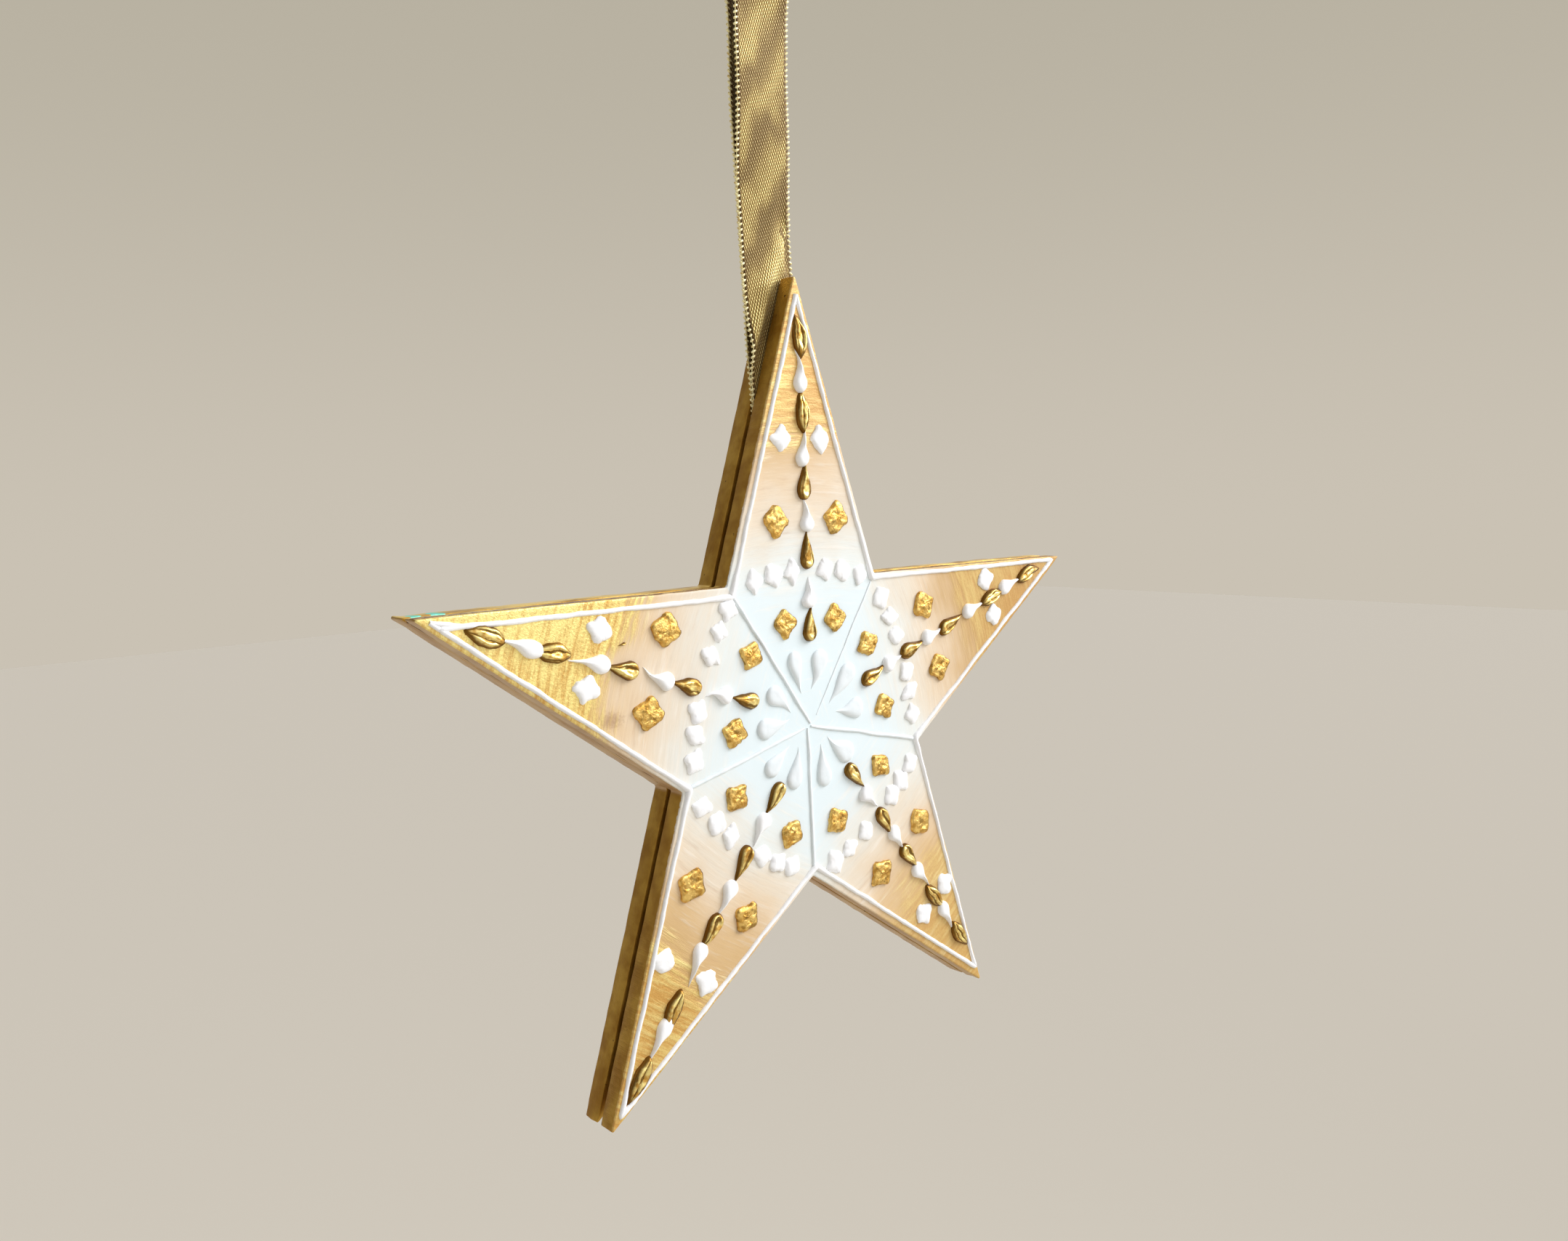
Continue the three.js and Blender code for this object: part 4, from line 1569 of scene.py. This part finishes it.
@dataclass
class PaintedPattern:
    """The pattern of marks on the front star, worked out arm by arm."""

    star: StarLayout
    # Widths at the chain's inner and outer end, and heights
    white_width: Point = (3.0, 2.7)
    gold_width: Point = (2.7, 2.8)
    white_height: float = 0.85
    gold_height: float = 0.95
    # How much longer the white drops are drawn than they are given, with their tails
    white_draw: float = 1.06
    # The share of the chain past which its gold marks are leaves
    leaves_from: float = 0.7
    # Dabs across their corners: the inner and outer gold pairs, and the white pair
    pair_sizes: tuple[float, float, float] = (4.7, 5.2, 4.3)
    gold_dab_height: float = 0.66
    white_dab_height: float = 0.5
    # The rows of white dabs: width, length and height, and how the row bows
    row_size: tuple[float, float, float] = (3.7, 3.9, 0.48)
    row_bow: float = 0.011
    petal_height: float = 0.55
    petal_swell: float = 1.08
    gold_drops: list[Mark] = field(default_factory=list)
    gold_leaves: list[Mark] = field(default_factory=list)
    white_drops: list[Mark] = field(default_factory=list)
    petals: list[Mark] = field(default_factory=list)
    gold_dabs: list[Mark] = field(default_factory=list)
    white_dabs: list[Mark] = field(default_factory=list)

    def lay_out(self) -> None:
        """Fills the lists of marks."""
        draw = random.Random(11)
        for arm, paint in enumerate(ARM_PAINT):
            self._chain(arm, paint, draw)
            self._dabs(arm, paint, draw)
        for stroke in PETALS:
            self._petal(stroke)
        # The small curl of gold on the left arm
        self.gold_drops.append(self._on_arm(4, 38.3, 3.5, -0.5, (0.4, 1.4, 0.3)))

    def _on_arm(
        self, arm: int, along: float, across: float, lean: float, size: tuple[float, float, float],
        bend: float = 0.0,
    ) -> Mark:
        """A mark at a place on an arm, leaning a little from the arm's own direction.

        Args:
            arm: The arm, clockwise from the top one.
            along: Distance from the centre along it.
            across: Distance to its clockwise side.
            lean: The turn away from the arm's direction.
            size: Width, length and height.
            bend: How the tail bends.

        Returns:
            The mark.
        """
        x, z = self.star.on_arm(arm, along, across)
        width, length, height = size
        return Mark(x, z, arm * self.star.arm_turn + lean, width, length, height, bend)

    def _chain(self, arm: int, paint: ArmPaint, draw: random.Random) -> None:
        """The gold and white drops along the middle of an arm.

        Args:
            arm: The arm, clockwise from the top one.
            paint: Where its marks are.
            draw: The source of small differences.
        """
        count = len(paint.chain)
        for i, along in enumerate(paint.chain):
            share = i / (count - 1)
            across = blend(*paint.side, share) + draw.uniform(-0.15, 0.15)
            lean, bend = draw.uniform(-0.1, 0.1), draw.uniform(-1.0, 1.0)
            if i % 2:
                length = blend(*paint.white_length, share)
                size = (blend(*self.white_width, share), length * self.white_draw, self.white_height)
                self.white_drops.append(self._on_arm(arm, along, across, lean, size, bend * 0.8))
            else:
                length = blend(*paint.gold_length, share)
                size = (blend(*self.gold_width, share), length, self.gold_height)
                kind = self.gold_leaves if share > self.leaves_from else self.gold_drops
                kind.append(self._on_arm(arm, along, across, lean, size, bend * 0.6))

    def _dabs(self, arm: int, paint: ArmPaint, draw: random.Random) -> None:
        """The pairs beside the chain, and the row across the arm.

        Args:
            arm: The arm, clockwise from the top one.
            paint: Where its marks are.
            draw: The source of small differences.
        """
        gold, white = (self.gold_dabs, self.gold_dab_height), (self.white_dabs, self.white_dab_height)
        pairs = (paint.inner, gold), (paint.outer, gold), (paint.pale, white)
        for ((along, left, right), (kind, height)), size in zip(pairs, self.pair_sizes):
            for across in (left, right):
                lean = draw.uniform(-0.16, 0.16)
                wide, long = size * draw.uniform(0.94, 1.04), size * draw.uniform(1.0, 1.1)
                kind.append(self._on_arm(arm, along, across, lean, (wide, long, height)))
        width, length, height = self.row_size
        for across in paint.row_across:
            along = paint.row - self.row_bow * across * across
            size = (width * draw.uniform(0.85, 1.12), length * draw.uniform(0.88, 1.14), height)
            self.white_dabs.append(self._on_arm(arm, along, across, draw.uniform(-0.4, 0.4), size))

    def _petal(self, stroke: PetalStroke) -> None:
        """One white petal, its fat end outwards and its tail towards the middle.

        Args:
            stroke: The petal as it was painted.
        """
        fat, tail = Vector(stroke.fat), Vector(stroke.tail)
        run = tail - fat
        length = run.length / (1 - DROP_NOSE)
        middle = fat + run.normalized() * length * (0.5 - DROP_NOSE)
        turn = math.atan2(run.x, run.y)
        width = stroke.width * self.petal_swell
        self.petals.append(
            Mark(middle.x, middle.y, turn, width, length, self.petal_height, stroke.bend)
        )


def line_tree() -> GrowingTree:
    """The tree that pipes a bead of paint along a path, with a wandering width.

    Returns:
        The tree, which starts from paths drawn as edges.
    """
    growing = GrowingTree("pipe_line")
    bench = growing.bench
    width, flatness, sway, level, seed = growing.takes(
        "Float", "Width", "Flatness", "Sway", "Level", "Seed"
    )
    paint, = growing.takes("Material", "Paint")

    curve = bench.add("GeometryNodeMeshToCurve", None, {"Mesh": growing.geometry})
    fine = bench.add(
        "GeometryNodeResampleCurve", {"mode": "LENGTH"}, {"Curve": curve, "Length": 0.3 * MM}
    )
    place = bench.scaled(bench.add("GeometryNodeInputPosition"), 1 / MM)
    moved = bench.vector_math("ADD", place, bench.vector(0.0, seed, 0.0))
    drift = bench.scaled(bench.wander(moved, 0.16, 3.0), sway * MM)
    swayed = bench.add("GeometryNodeSetPosition", None, {"Geometry": fine, "Offset": drift})
    thick = bench.noise(moved, 0.45, 3.0, 0.6)
    girth = (thick * 0.7 + 0.65) * growing.named("swell")
    circle = bench.add(
        "GeometryNodeCurvePrimitiveCircle", None, {"Resolution": 14, "Radius": width * (MM / 2)}
    )
    bead = bench.add(
        "GeometryNodeCurveToMesh", None,
        {"Curve": swayed, "Profile Curve": circle, "Scale": girth, "Fill Caps": True},
    )
    x, y, z = bench.split(bench.add("GeometryNodeInputPosition"))
    lowered = level + (y - level) * flatness
    flat = bench.add(
        "GeometryNodeSetPosition", None, {"Geometry": bead, "Position": bench.vector(x, lowered, z)}
    )
    growing.finish(flat, paint)
    return growing


@dataclass
class PipedLines:
    """Lines of white paint piped on the face: the outline, and the spokes to the notches."""

    star: StarLayout
    outline_width: float = 0.8
    spoke_width: float = 0.72
    faint_width: float = 0.4
    flatness: float = 1.1
    # How deep the lines' middle lies in the face, and how far short of a notch a spoke ends
    sink: float = 0.06
    spoke_reach: float = 1.6
    path_steps: int = 12
    spur_steps: int = 5

    def _run(
        self, tree: GrowingTree, name: str, paths: Sequence[Sequence[tuple[Vector, float]]],
        inputs: dict[str, float], material: bpy.types.Material,
    ) -> bpy.types.Object:
        """Pipes paint along open paths.

        Args:
            tree: The tree from line_tree.
            name: The piece's name.
            paths: Each path's points, with how much the line swells there.
            inputs: The tree's Width, Sway and Seed.
            material: The lines' paint.

        Returns:
            The lines as one piece.
        """
        level = self.star.face_level - self.sink
        points, edges, swell = [], [], []
        for path in paths:
            first = len(points)
            points += [tuple(self.star.place(spot.x, spot.y, level)) for spot, _ in path]
            swell += [amount for _, amount in path]
            edges += [(first + i, first + i + 1) for i in range(len(path) - 1)]
        mesh = bpy.data.meshes.new(f"{name}_path")
        mesh.from_pydata(points, edges, [])
        give_numbers(mesh, "swell", swell)
        settings = {"Level": -level * MM, "Flatness": self.flatness, "Paint": material}
        return show(name, tree.grow(mesh, settings | inputs), material)

    def outline(self, tree: GrowingTree, material: bpy.types.Material) -> bpy.types.Object:
        """The outline that follows the star's edge, fuller at the notches, with its two spurs.

        Args:
            tree: The tree from line_tree.
            material: The white paint.

        Returns:
            The outline as one piece.
        """
        corners = self.star.corners(OUTLINE_INSETS)
        path = []
        for i, corner in enumerate(corners):
            goal = corners[(i + 1) % len(corners)]
            run = (goal - corner).length
            for share in (step / self.path_steps for step in range(self.path_steps)):
                gone = run * share
                to_notch = run - gone if i % 2 == 0 else gone
                swell = 1 + 0.32 * hump(to_notch, 1.6) + 0.12 * hump(min(gone, run - gone), 3)
                path.append((corner.lerp(goal, share), swell))
        path.append(path[0])
        tip = corners[LEFT_TIP_CORNER]
        onward = (tip - corners[LEFT_TIP_CORNER - 1]).normalized()
        upper = (corners[LEFT_TIP_CORNER + 1] - tip).normalized()
        end = tip + onward * OVERSHOOT
        spurs = [
            [(start.lerp(end, step / self.spur_steps), 1.05 - 0.05 * step)
             for step in range(self.spur_steps + 1)]
            for start in (tip - onward * SPUR_LAP, tip + upper * SPUR_LAP)
        ]
        inputs = {"Width": self.outline_width, "Sway": 0.28, "Seed": 3.0}
        return self._run(tree, "white_outline", [path, *spurs], inputs, material)

    def spokes(self, tree: GrowingTree, material: bpy.types.Material) -> bpy.types.Object:
        """The five thin lines from the crossing to the notches.

        Args:
            tree: The tree from line_tree.
            material: The white paint.

        Returns:
            The spokes as one piece.
        """
        paths = []
        for arm, start in enumerate(SPOKE_STARTS):
            angle = (arm + 0.5) * self.star.arm_turn
            notch = Vector(self.star.polar(self.star.notch_radius - self.spoke_reach, angle))
            full = self.faint_width / self.spoke_width if arm == FAINT_SPOKE else 1.0
            path = []
            for share in (step / self.path_steps for step in range(self.path_steps + 1)):
                swell = full * (1 - 0.35 * hump(share, 0.12) - 0.12 * hump(share - 0.45, 0.3))
                path.append((Vector(start).lerp(notch, share), swell))
            paths.append(path)
        inputs = {"Width": self.spoke_width, "Sway": 0.3, "Seed": 8.0}
        return self._run(tree, "white_spokes", paths, inputs, material)


@dataclass
class SatinRibbon:
    """One length of ribbon, folded into a loop, its ends pressed between the stars."""

    star: StarLayout
    width: float = 10.0
    thick: float = 0.24
    # Heights above the star's centre: the loop's top, the pressed ends' foot, where the strands
    # part, where they stand the eye's gap apart, and where the eye begins to flare
    top: float = 128.0
    foot: float = 36.0
    part: float = 76.0
    eye_foot: float = 112.0
    flare_foot: float = 108.0
    eye_half: float = 3.1
    gap_at_eye: float = 1.75
    pressed: float = 0.17
    # The crease above the tip: its height at the ribbon's middle, how far it climbs to the edge,
    # the share of that height that is distance across it, how high it stands and how wide it is
    crease_height: float = 67.5
    crease_climb: float = 9.5
    crease_share: float = 0.466
    crease_rise: float = 0.75
    crease_reach: float = 1.3
    # The right edge's curl, backwards, and where it is deepest
    curl: float = 1.3
    curl_height: float = 74.5
    # The belly below the crease, forwards, and the lift of the back strand's edge
    belly: float = 0.35
    belly_height: float = 66.0
    back_lift: float = 0.2
    back_lift_height: float = 82.0
    step: float = 0.7
    eye_steps: int = 24
    across_steps: int = 18

    def _gap(self, height: float) -> float:
        """How far each strand's middle stands from the loop's middle plane.

        Args:
            height: Height above the star's centre.

        Returns:
            The distance.
        """
        opening = min(max((height - self.part) / (self.eye_foot - self.part), 0.0), 1.0)
        narrow = self.gap_at_eye / 2 * opening
        flare = smooth(self.flare_foot, self.top - self.eye_half, height)
        return self.pressed + narrow + (self.eye_half - narrow) * flare * 0.985

    def _folds(self, height: float, across: float, front: bool) -> float:
        """How far the satin stands out of its flat course, towards the decorated side.

        Args:
            height: Height above the star's centre.
            across: Place across the ribbon, from -1 at its left edge to 1.
            front: Whether this is the front strand.

        Returns:
            The distance.
        """
        x = along_stations(RIBBON_COURSE, height) + across * self.width / 2
        free = smooth(0.3, 3.0, self.star.outside(x, height))
        calm = 1 - smooth(self.flare_foot, self.top - self.eye_half, height)
        wave = 0.14 * math.sin(height / 6.5 + across) + 0.1 * math.sin(height / 3.1 - across * 2)
        if not front:
            lift = self.back_lift * hump(height - self.back_lift_height, 7.0) * across
            return -(wave + lift) * free * calm
        line = height - self.crease_height - self.crease_climb * across
        crease = self.crease_rise * hump(line * self.crease_share, self.crease_reach)
        curl = -self.curl * smooth(0.3, 1.0, across) * hump(height - self.curl_height, 5.0)
        belly = self.belly * hump(height - self.belly_height, 8.0) * (1 - across * across)
        return (crease + curl + belly + wave) * free * calm

    def _course(self) -> list[tuple[float, float, bool]]:
        """The loop's stations: height, distance out of the middle, and if it's the front strand.

        Returns:
            The stations, from the front strand's foot over the eye to the back one's.
        """
        arch = self.top - self.eye_half
        radius = self._gap(arch)
        count = round((arch - self.foot) / self.step)
        up = [blend(self.foot, arch, i / count) for i in range(count)]
        stations = [(height, self._gap(height), True) for height in up]
        for turn in (math.pi * i / self.eye_steps for i in range(self.eye_steps + 1)):
            height, out = arch + radius * math.sin(turn), radius * math.cos(turn)
            stations.append((height, out, turn < math.pi / 2))
        return stations + [(height, -self._gap(height), False) for height in reversed(up)]

    def _surface(self) -> tuple[list[list[Vector]], list[float]]:
        """The ribbon's middle surface as rows of points, and the length gone at each row.

        Returns:
            The rows of points, and the lengths, in metres.
        """
        rows, lengths, gone = [], [], 0.0
        for height, out, front in self._course():
            row = []
            for i in range(self.across_steps + 1):
                across = 2 * i / self.across_steps - 1
                x = along_stations(RIBBON_COURSE, height) + across * self.width / 2
                raised = self._folds(height, across, front)
                row.append(self.star.place(x, height, out + raised))
            if rows:
                middle = self.across_steps // 2
                gone += (row[middle] - rows[-1][middle]).length
            rows.append(row)
            lengths.append(gone)
        return rows, lengths

    def build(self, material: bpy.types.Material, thread: bpy.types.Material) -> None:
        """Args:
            material: The satin.
            thread: The selvedge's thread.
        """
        rows, lengths = self._surface()
        wide = self.across_steps + 1
        points: list[Vector] = []
        for r, row in enumerate(rows):
            before, after = rows[max(r - 1, 0)], rows[min(r + 1, len(rows) - 1)]
            outer, inner = [], []
            for i, spot in enumerate(row):
                run = after[i] - before[i]
                span = row[min(i + 1, wide - 1)] - row[max(i - 1, 0)]
                normal = span.cross(run).normalized() * (self.thick * MM / 2)
                outer.append(spot + normal)
                inner.append(spot - normal)
            points += outer + list(reversed(inner))
        ring = 2 * wide
        mesh = close_mesh("hanging_ribbon", points, ring_faces(len(rows), ring))
        uv = mesh.uv_layers.new(name="ribbon_map")
        for loop in mesh.loops:
            r, i = divmod(loop.vertex_index, ring)
            across = i if i < wide else ring - 1 - i
            uv.data[loop.index].uv = (across / self.across_steps, lengths[r] / (self.width * MM))
        ribbon = show("hanging_ribbon_satin", mesh, material)
        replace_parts(ribbon, "hanging_ribbon")
        selvedge = Selvedge([row[0] for row in rows], [row[-1] for row in rows]).build(thread)
        flat = (self.width * MM, lengths[-1])
        LOG.info("ribbon: %.1f mm long", lengths[-1] / MM)


@dataclass
class Selvedge:
    """The fine picot loops of thread along both edges of the ribbon."""

    left: list[Vector]
    right: list[Vector]
    pitch: float = 0.84
    cord: float = 0.2
    # One loop of thread: half its length, width and height, and how it slants
    loop_half: tuple[float, float, float] = (0.46, 0.24, 0.27)
    loop_slant: float = 0.4
    loop_rings: int = 5
    loop_sides: int = 8

    def _tree(self) -> GrowingTree:
        """The tree that sets a loop of thread at each step of the ribbon's edges.

        Returns:
            The tree, which starts from the two edges as paths.
        """
        growing = GrowingTree("sew_selvedge")
        bench = growing.bench
        pitch, cord = growing.takes("Float", "Pitch", "Cord")
        paint, = growing.takes("Material", "Paint")
        bead, = growing.takes("Object", "Bead")
        curve = bench.add("GeometryNodeMeshToCurve", None, {"Mesh": growing.geometry})
        points = bench.add(
            "GeometryNodeCurveToPoints", {"mode": "LENGTH"}, {"Curve": curve, "Length": pitch}
        )
        tangent = Wire(bench, points.socket.node.outputs["Tangent"])
        rotation = bench.add(
            "FunctionNodeAxesToRotation",
            {"primary_axis": "Z", "secondary_axis": "X"},
            {"Primary Axis": tangent, "Secondary Axis": Vector((1.0, 0.0, 0.0))},
        )
        unit = bench.add("GeometryNodeObjectInfo", None, {"Object": bead}, "Geometry")
        loops = bench.add(
            "GeometryNodeInstanceOnPoints", None,
            {"Points": points, "Instance": unit, "Rotation": rotation},
        )
        circle = bench.add(
            "GeometryNodeCurvePrimitiveCircle", None, {"Resolution": 6, "Radius": cord}
        )
        core = bench.add(
            "GeometryNodeCurveToMesh", None,
            {"Curve": curve, "Profile Curve": circle, "Scale": 1.0, "Fill Caps": True},
        )
        joined = bench.add("GeometryNodeJoinGeometry", None, {"Geometry": loops})
        bench.tree.links.new(core.socket, joined.socket.node.inputs[0])
        growing.finish(joined, paint)
        return growing

    def _bead(self) -> bpy.types.Object:
        """One slanting loop of thread, as a small closed lozenge.

        Returns:
            The loop, as an object outside the scene.
        """
        half_length, half_width, half_height = self.loop_half
        points = []
        for polar in (math.pi * ring / (self.loop_rings - 1) for ring in range(self.loop_rings)):
            for turn in (math.tau * side / self.loop_sides for side in range(self.loop_sides)):
                x = half_length * math.cos(polar)
                y = half_width * math.sin(polar) * math.cos(turn)
                z = half_height * math.sin(polar) * math.sin(turn) + self.loop_slant * x
                points.append(Vector((x, y, z)) * MM)
        faces = ring_faces(self.loop_rings, self.loop_sides)[:-2]
        return bpy.data.objects.new("selvedge_loop", close_mesh("selvedge_loop", points, faces))

    def build(self, material: bpy.types.Material) -> bpy.types.Object:
        """The selvedge as one piece.

        Args:
            material: The thread.

        Returns:
            The selvedge.
        """
        points = self.left + self.right
        edges = [(i, i + 1) for i in range(len(points) - 1) if i != len(self.left) - 1]
        mesh = bpy.data.meshes.new("selvedge_path")
        mesh.from_pydata([tuple(point) for point in points], edges, [])
        grown = self._tree().grow(mesh, {
            "Pitch": self.pitch * MM, "Cord": self.cord * MM / 2, "Paint": material,
            "Bead": self._bead(),
        })
        return show("ribbon_selvedge", grown, material)


@dataclass(frozen=True)
class PhotoCamera:
    """The camera, fitted so that the star's corners fall where the photograph has them."""

    picture_width: float = 2158.0
    focal_pixels: float = 1746.2
    sensor: float = 36.0
    clip: Point = (0.005, 50.0)
    # From the middle of the decorated face, in shares of the tip radius
    offset: tuple[float, float, float] = (-1.92483, -2.16535, 0.52702)
    forward: tuple[float, float, float] = (0.64780, 0.75444, -0.10567)
    up: tuple[float, float, float] = (0.09469, 0.05790, 0.99382)

    def build(self, star: StarLayout) -> None:
        """Makes the camera and looks through it.

        Args:
            star: The star's layout.
        """
        data = bpy.data.cameras.new("photo_camera")
        data.sensor_width = self.sensor
        data.lens = self.focal_pixels / self.picture_width * self.sensor
        data.clip_start, data.clip_end = self.clip
        camera = put_in_scene("photo_camera", data)
        forward = Vector(self.forward).normalized()
        right = forward.cross(Vector(self.up)).normalized()
        up = right.cross(forward)
        turned = Matrix((right, up, -forward)).transposed().to_4x4()
        face = star.place(0, 0, star.face_level)
        camera.matrix_world = Matrix.Translation(
            face + Vector(self.offset) * star.tip_radius * MM
        ) @ turned
        bpy.context.scene.camera = camera


@dataclass(frozen=True)
class Studio:
    """A plain pale floor, a soft beige surround, and a broad soft key from the upper right."""

    backdrop: Colour = tone(184, 177, 161)
    horizon: Colour = tone(202, 194, 180)
    # The surround's light where it is dim and where it is bright
    shade: Colour = tone(230, 224, 212)
    bright: Colour = tone(252, 252, 255)
    # A window's glow in front, and a broad glow from the right and above
    window_from: tuple[float, float, float] = (0.55, -0.82, 0.12)
    window: float = 0.62
    side_from: tuple[float, float, float] = (0.8, -0.15, 0.55)
    side: float = 0.46
    dim: float = 0.36
    floor_paint: Colour = tone(242, 234, 218)
    floor_roughness: float = 0.9
    # How far below the star the floor lies, and half its side in metres
    floor_drop: float = 1200.0
    floor_half: float = 12.0
    key_from: tuple[float, float, float] = (0.72, -0.48, 0.5)
    key_power: float = 6.8
    key_size: float = 0.5
    key_distance: float = 0.9

    def _world(self) -> None:
        """The surround: dim behind on the left, bright in front on the right."""
        world = bpy.data.worlds.new("studio")
        world.use_nodes = True
        bpy.context.scene.world = world
        world.node_tree.nodes.clear()
        bench = NodeBench(world.node_tree)
        direction = bench.add("ShaderNodeTexCoord", out="Generated")
        window = self._towards(bench, direction, self.window_from).rise(0.5, 0.95) * self.window
        side = self._towards(bench, direction, self.side_from).rise(-0.6, 1.0) * self.side
        strength = window + side + self.dim
        colour = bench.mix(strength.rise(0.2, 0.9), self.shade, self.bright)
        glow = bench.add("ShaderNodeBackground", None, {"Color": colour, "Strength": strength})
        _, _, height = bench.split(direction)
        wall = bench.mix(height.rise(-0.05, 0.38), self.horizon, self.backdrop)
        seen = bench.add("ShaderNodeBackground", None, {"Color": wall, "Strength": 1.0})
        is_camera = bench.add("ShaderNodeLightPath", out="Is Camera Ray")
        both = bench.add("ShaderNodeMixShader", None, {0: is_camera, 1: glow, 2: seen})
        sink = world.node_tree.nodes.new("ShaderNodeOutputWorld")
        bench.feed(sink.inputs["Surface"], both)

    @staticmethod
    def _towards(bench: NodeBench, direction: Wire, goal: Sequence[float]) -> Wire:
        """1 where a direction meets the goal's direction, down to -1 on the far side."""
        return bench.vector_math("DOT_PRODUCT", direction, Vector(goal).normalized(), out=1)

    def _floor(self, lowest: float) -> None:
        """The floor, well below the hanging star.

        Args:
            lowest: Height of the ornament's lowest point, in metres.
        """
        half = self.floor_half
        level = lowest - self.floor_drop * MM
        square = (-half, -half), (half, -half), (half, half), (-half, half)
        corners = [Vector((x, y, level)) for x, y in square]
        mesh = close_mesh("floor", corners, [(0, 1, 2, 3)])
        surface = Surface("pale_floor")
        surface.give(base_color=self.floor_paint, roughness=self.floor_roughness)
        mesh.materials.append(surface.material)
        put_in_scene("floor", mesh)

    def _key(self, target: Vector) -> None:
        """The soft key light.

        Args:
            target: Where the light points, in metres.
        """
        data = bpy.data.lights.new("key", "AREA")
        data.shape = "DISK"
        data.size = self.key_size
        data.energy = self.key_power
        data.color = self.bright[:3]
        key = put_in_scene("key", data)
        towards = Vector(self.key_from).normalized()
        key.location = target + towards * self.key_distance
        key.rotation_euler = towards.to_track_quat("Z", "Y").to_euler()

    def build(self, star: StarLayout) -> None:
        """Sets up the surround, the floor and the key light.

        Args:
            star: The star's layout.
        """
        self._world()
        self._floor(CAD_BOX[0].z)
        self._key(star.place(0, 0, star.face_level))
        bpy.context.scene.view_settings.view_transform = "Standard"


def main() -> None:
    """Builds the ornament, its studio and its camera."""
    logging.basicConfig(level=logging.INFO, format="%(name)s: %(message)s")
    star = StarLayout()
    PhotoCamera().build(star)
    Studio().build(star)

    gold_sides = GoldSides()
    front = StarPlate(star, "front_star_plate", star.face_level, star.seam / 2, 2.0)
    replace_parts(front.build(Slot.FACE, PaintedFace(gold_sides).make(star)), "front_star")
    back = StarPlate(star, "back_star_plate", -star.face_level, -star.seam / 2, 9.0)
    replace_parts(back.build(Slot.BACK, gold_sides.make(star)), "back_star")
    GlueBed(star).build(DriedGlue().make(star))

    white = RAISED_WHITE.make(star)
    petal_white = PETAL_WHITE.make(star)
    gold = {skin: RaisedGold(skin).make(star) for skin in GoldSkin}
    lines, pipe = PipedLines(star), line_tree()
    lines.outline(pipe, white)
    lines.spokes(pipe, petal_white)

    pattern = PaintedPattern(star)
    pattern.lay_out()
    lay = mark_tree()
    for name, shape, slot, marks, paint, hand in (
        ("gold_drops", GOLD_DROP, Slot.GOLD, pattern.gold_drops, gold[GoldSkin.DROP],
         {"fold_depth": 0.22, "lump_reach": 0.12, "ragged": 0.3, "seed": 2.0,
          "fold_count": FOLD_COUNTS[GoldSkin.DROP]}),
        ("gold_leaves", GOLD_LEAF, Slot.GOLD, pattern.gold_leaves, gold[GoldSkin.LEAF],
         {"fold_depth": 0.3, "lump_reach": 0.12, "ragged": 0.5, "seed": 5.0,
          "fold_count": FOLD_COUNTS[GoldSkin.LEAF]}),
        ("white_drops", WHITE_DROP, Slot.WHITE, pattern.white_drops, white,
         {"lump_reach": 0.08, "ragged": 0.25, "seed": 7.0}),
        ("centre_petals", PETAL_DROP, Slot.WHITE, pattern.petals, petal_white,
         {"lump_reach": 0.08, "ragged": 0.16, "seed": 12.0}),
        ("gold_diamonds", GOLD_DAB, Slot.GOLD, pattern.gold_dabs, gold[GoldSkin.DAB],
         {"lump_reach": 0.14, "crumple": 0.45, "ragged": 0.75, "seed": 15.0}),
        ("white_diamonds", WHITE_DAB, Slot.WHITE, pattern.white_dabs, white,
         {"lump_reach": 0.12, "ragged": 0.8, "seed": 21.0}),
    ):
        PaintMarks(star, name, shape, slot, marks, **hand).build(lay, paint)

    SatinRibbon(star).build(Satin().make(), Thread().make(star))


if __name__ == "__main__":
    main()
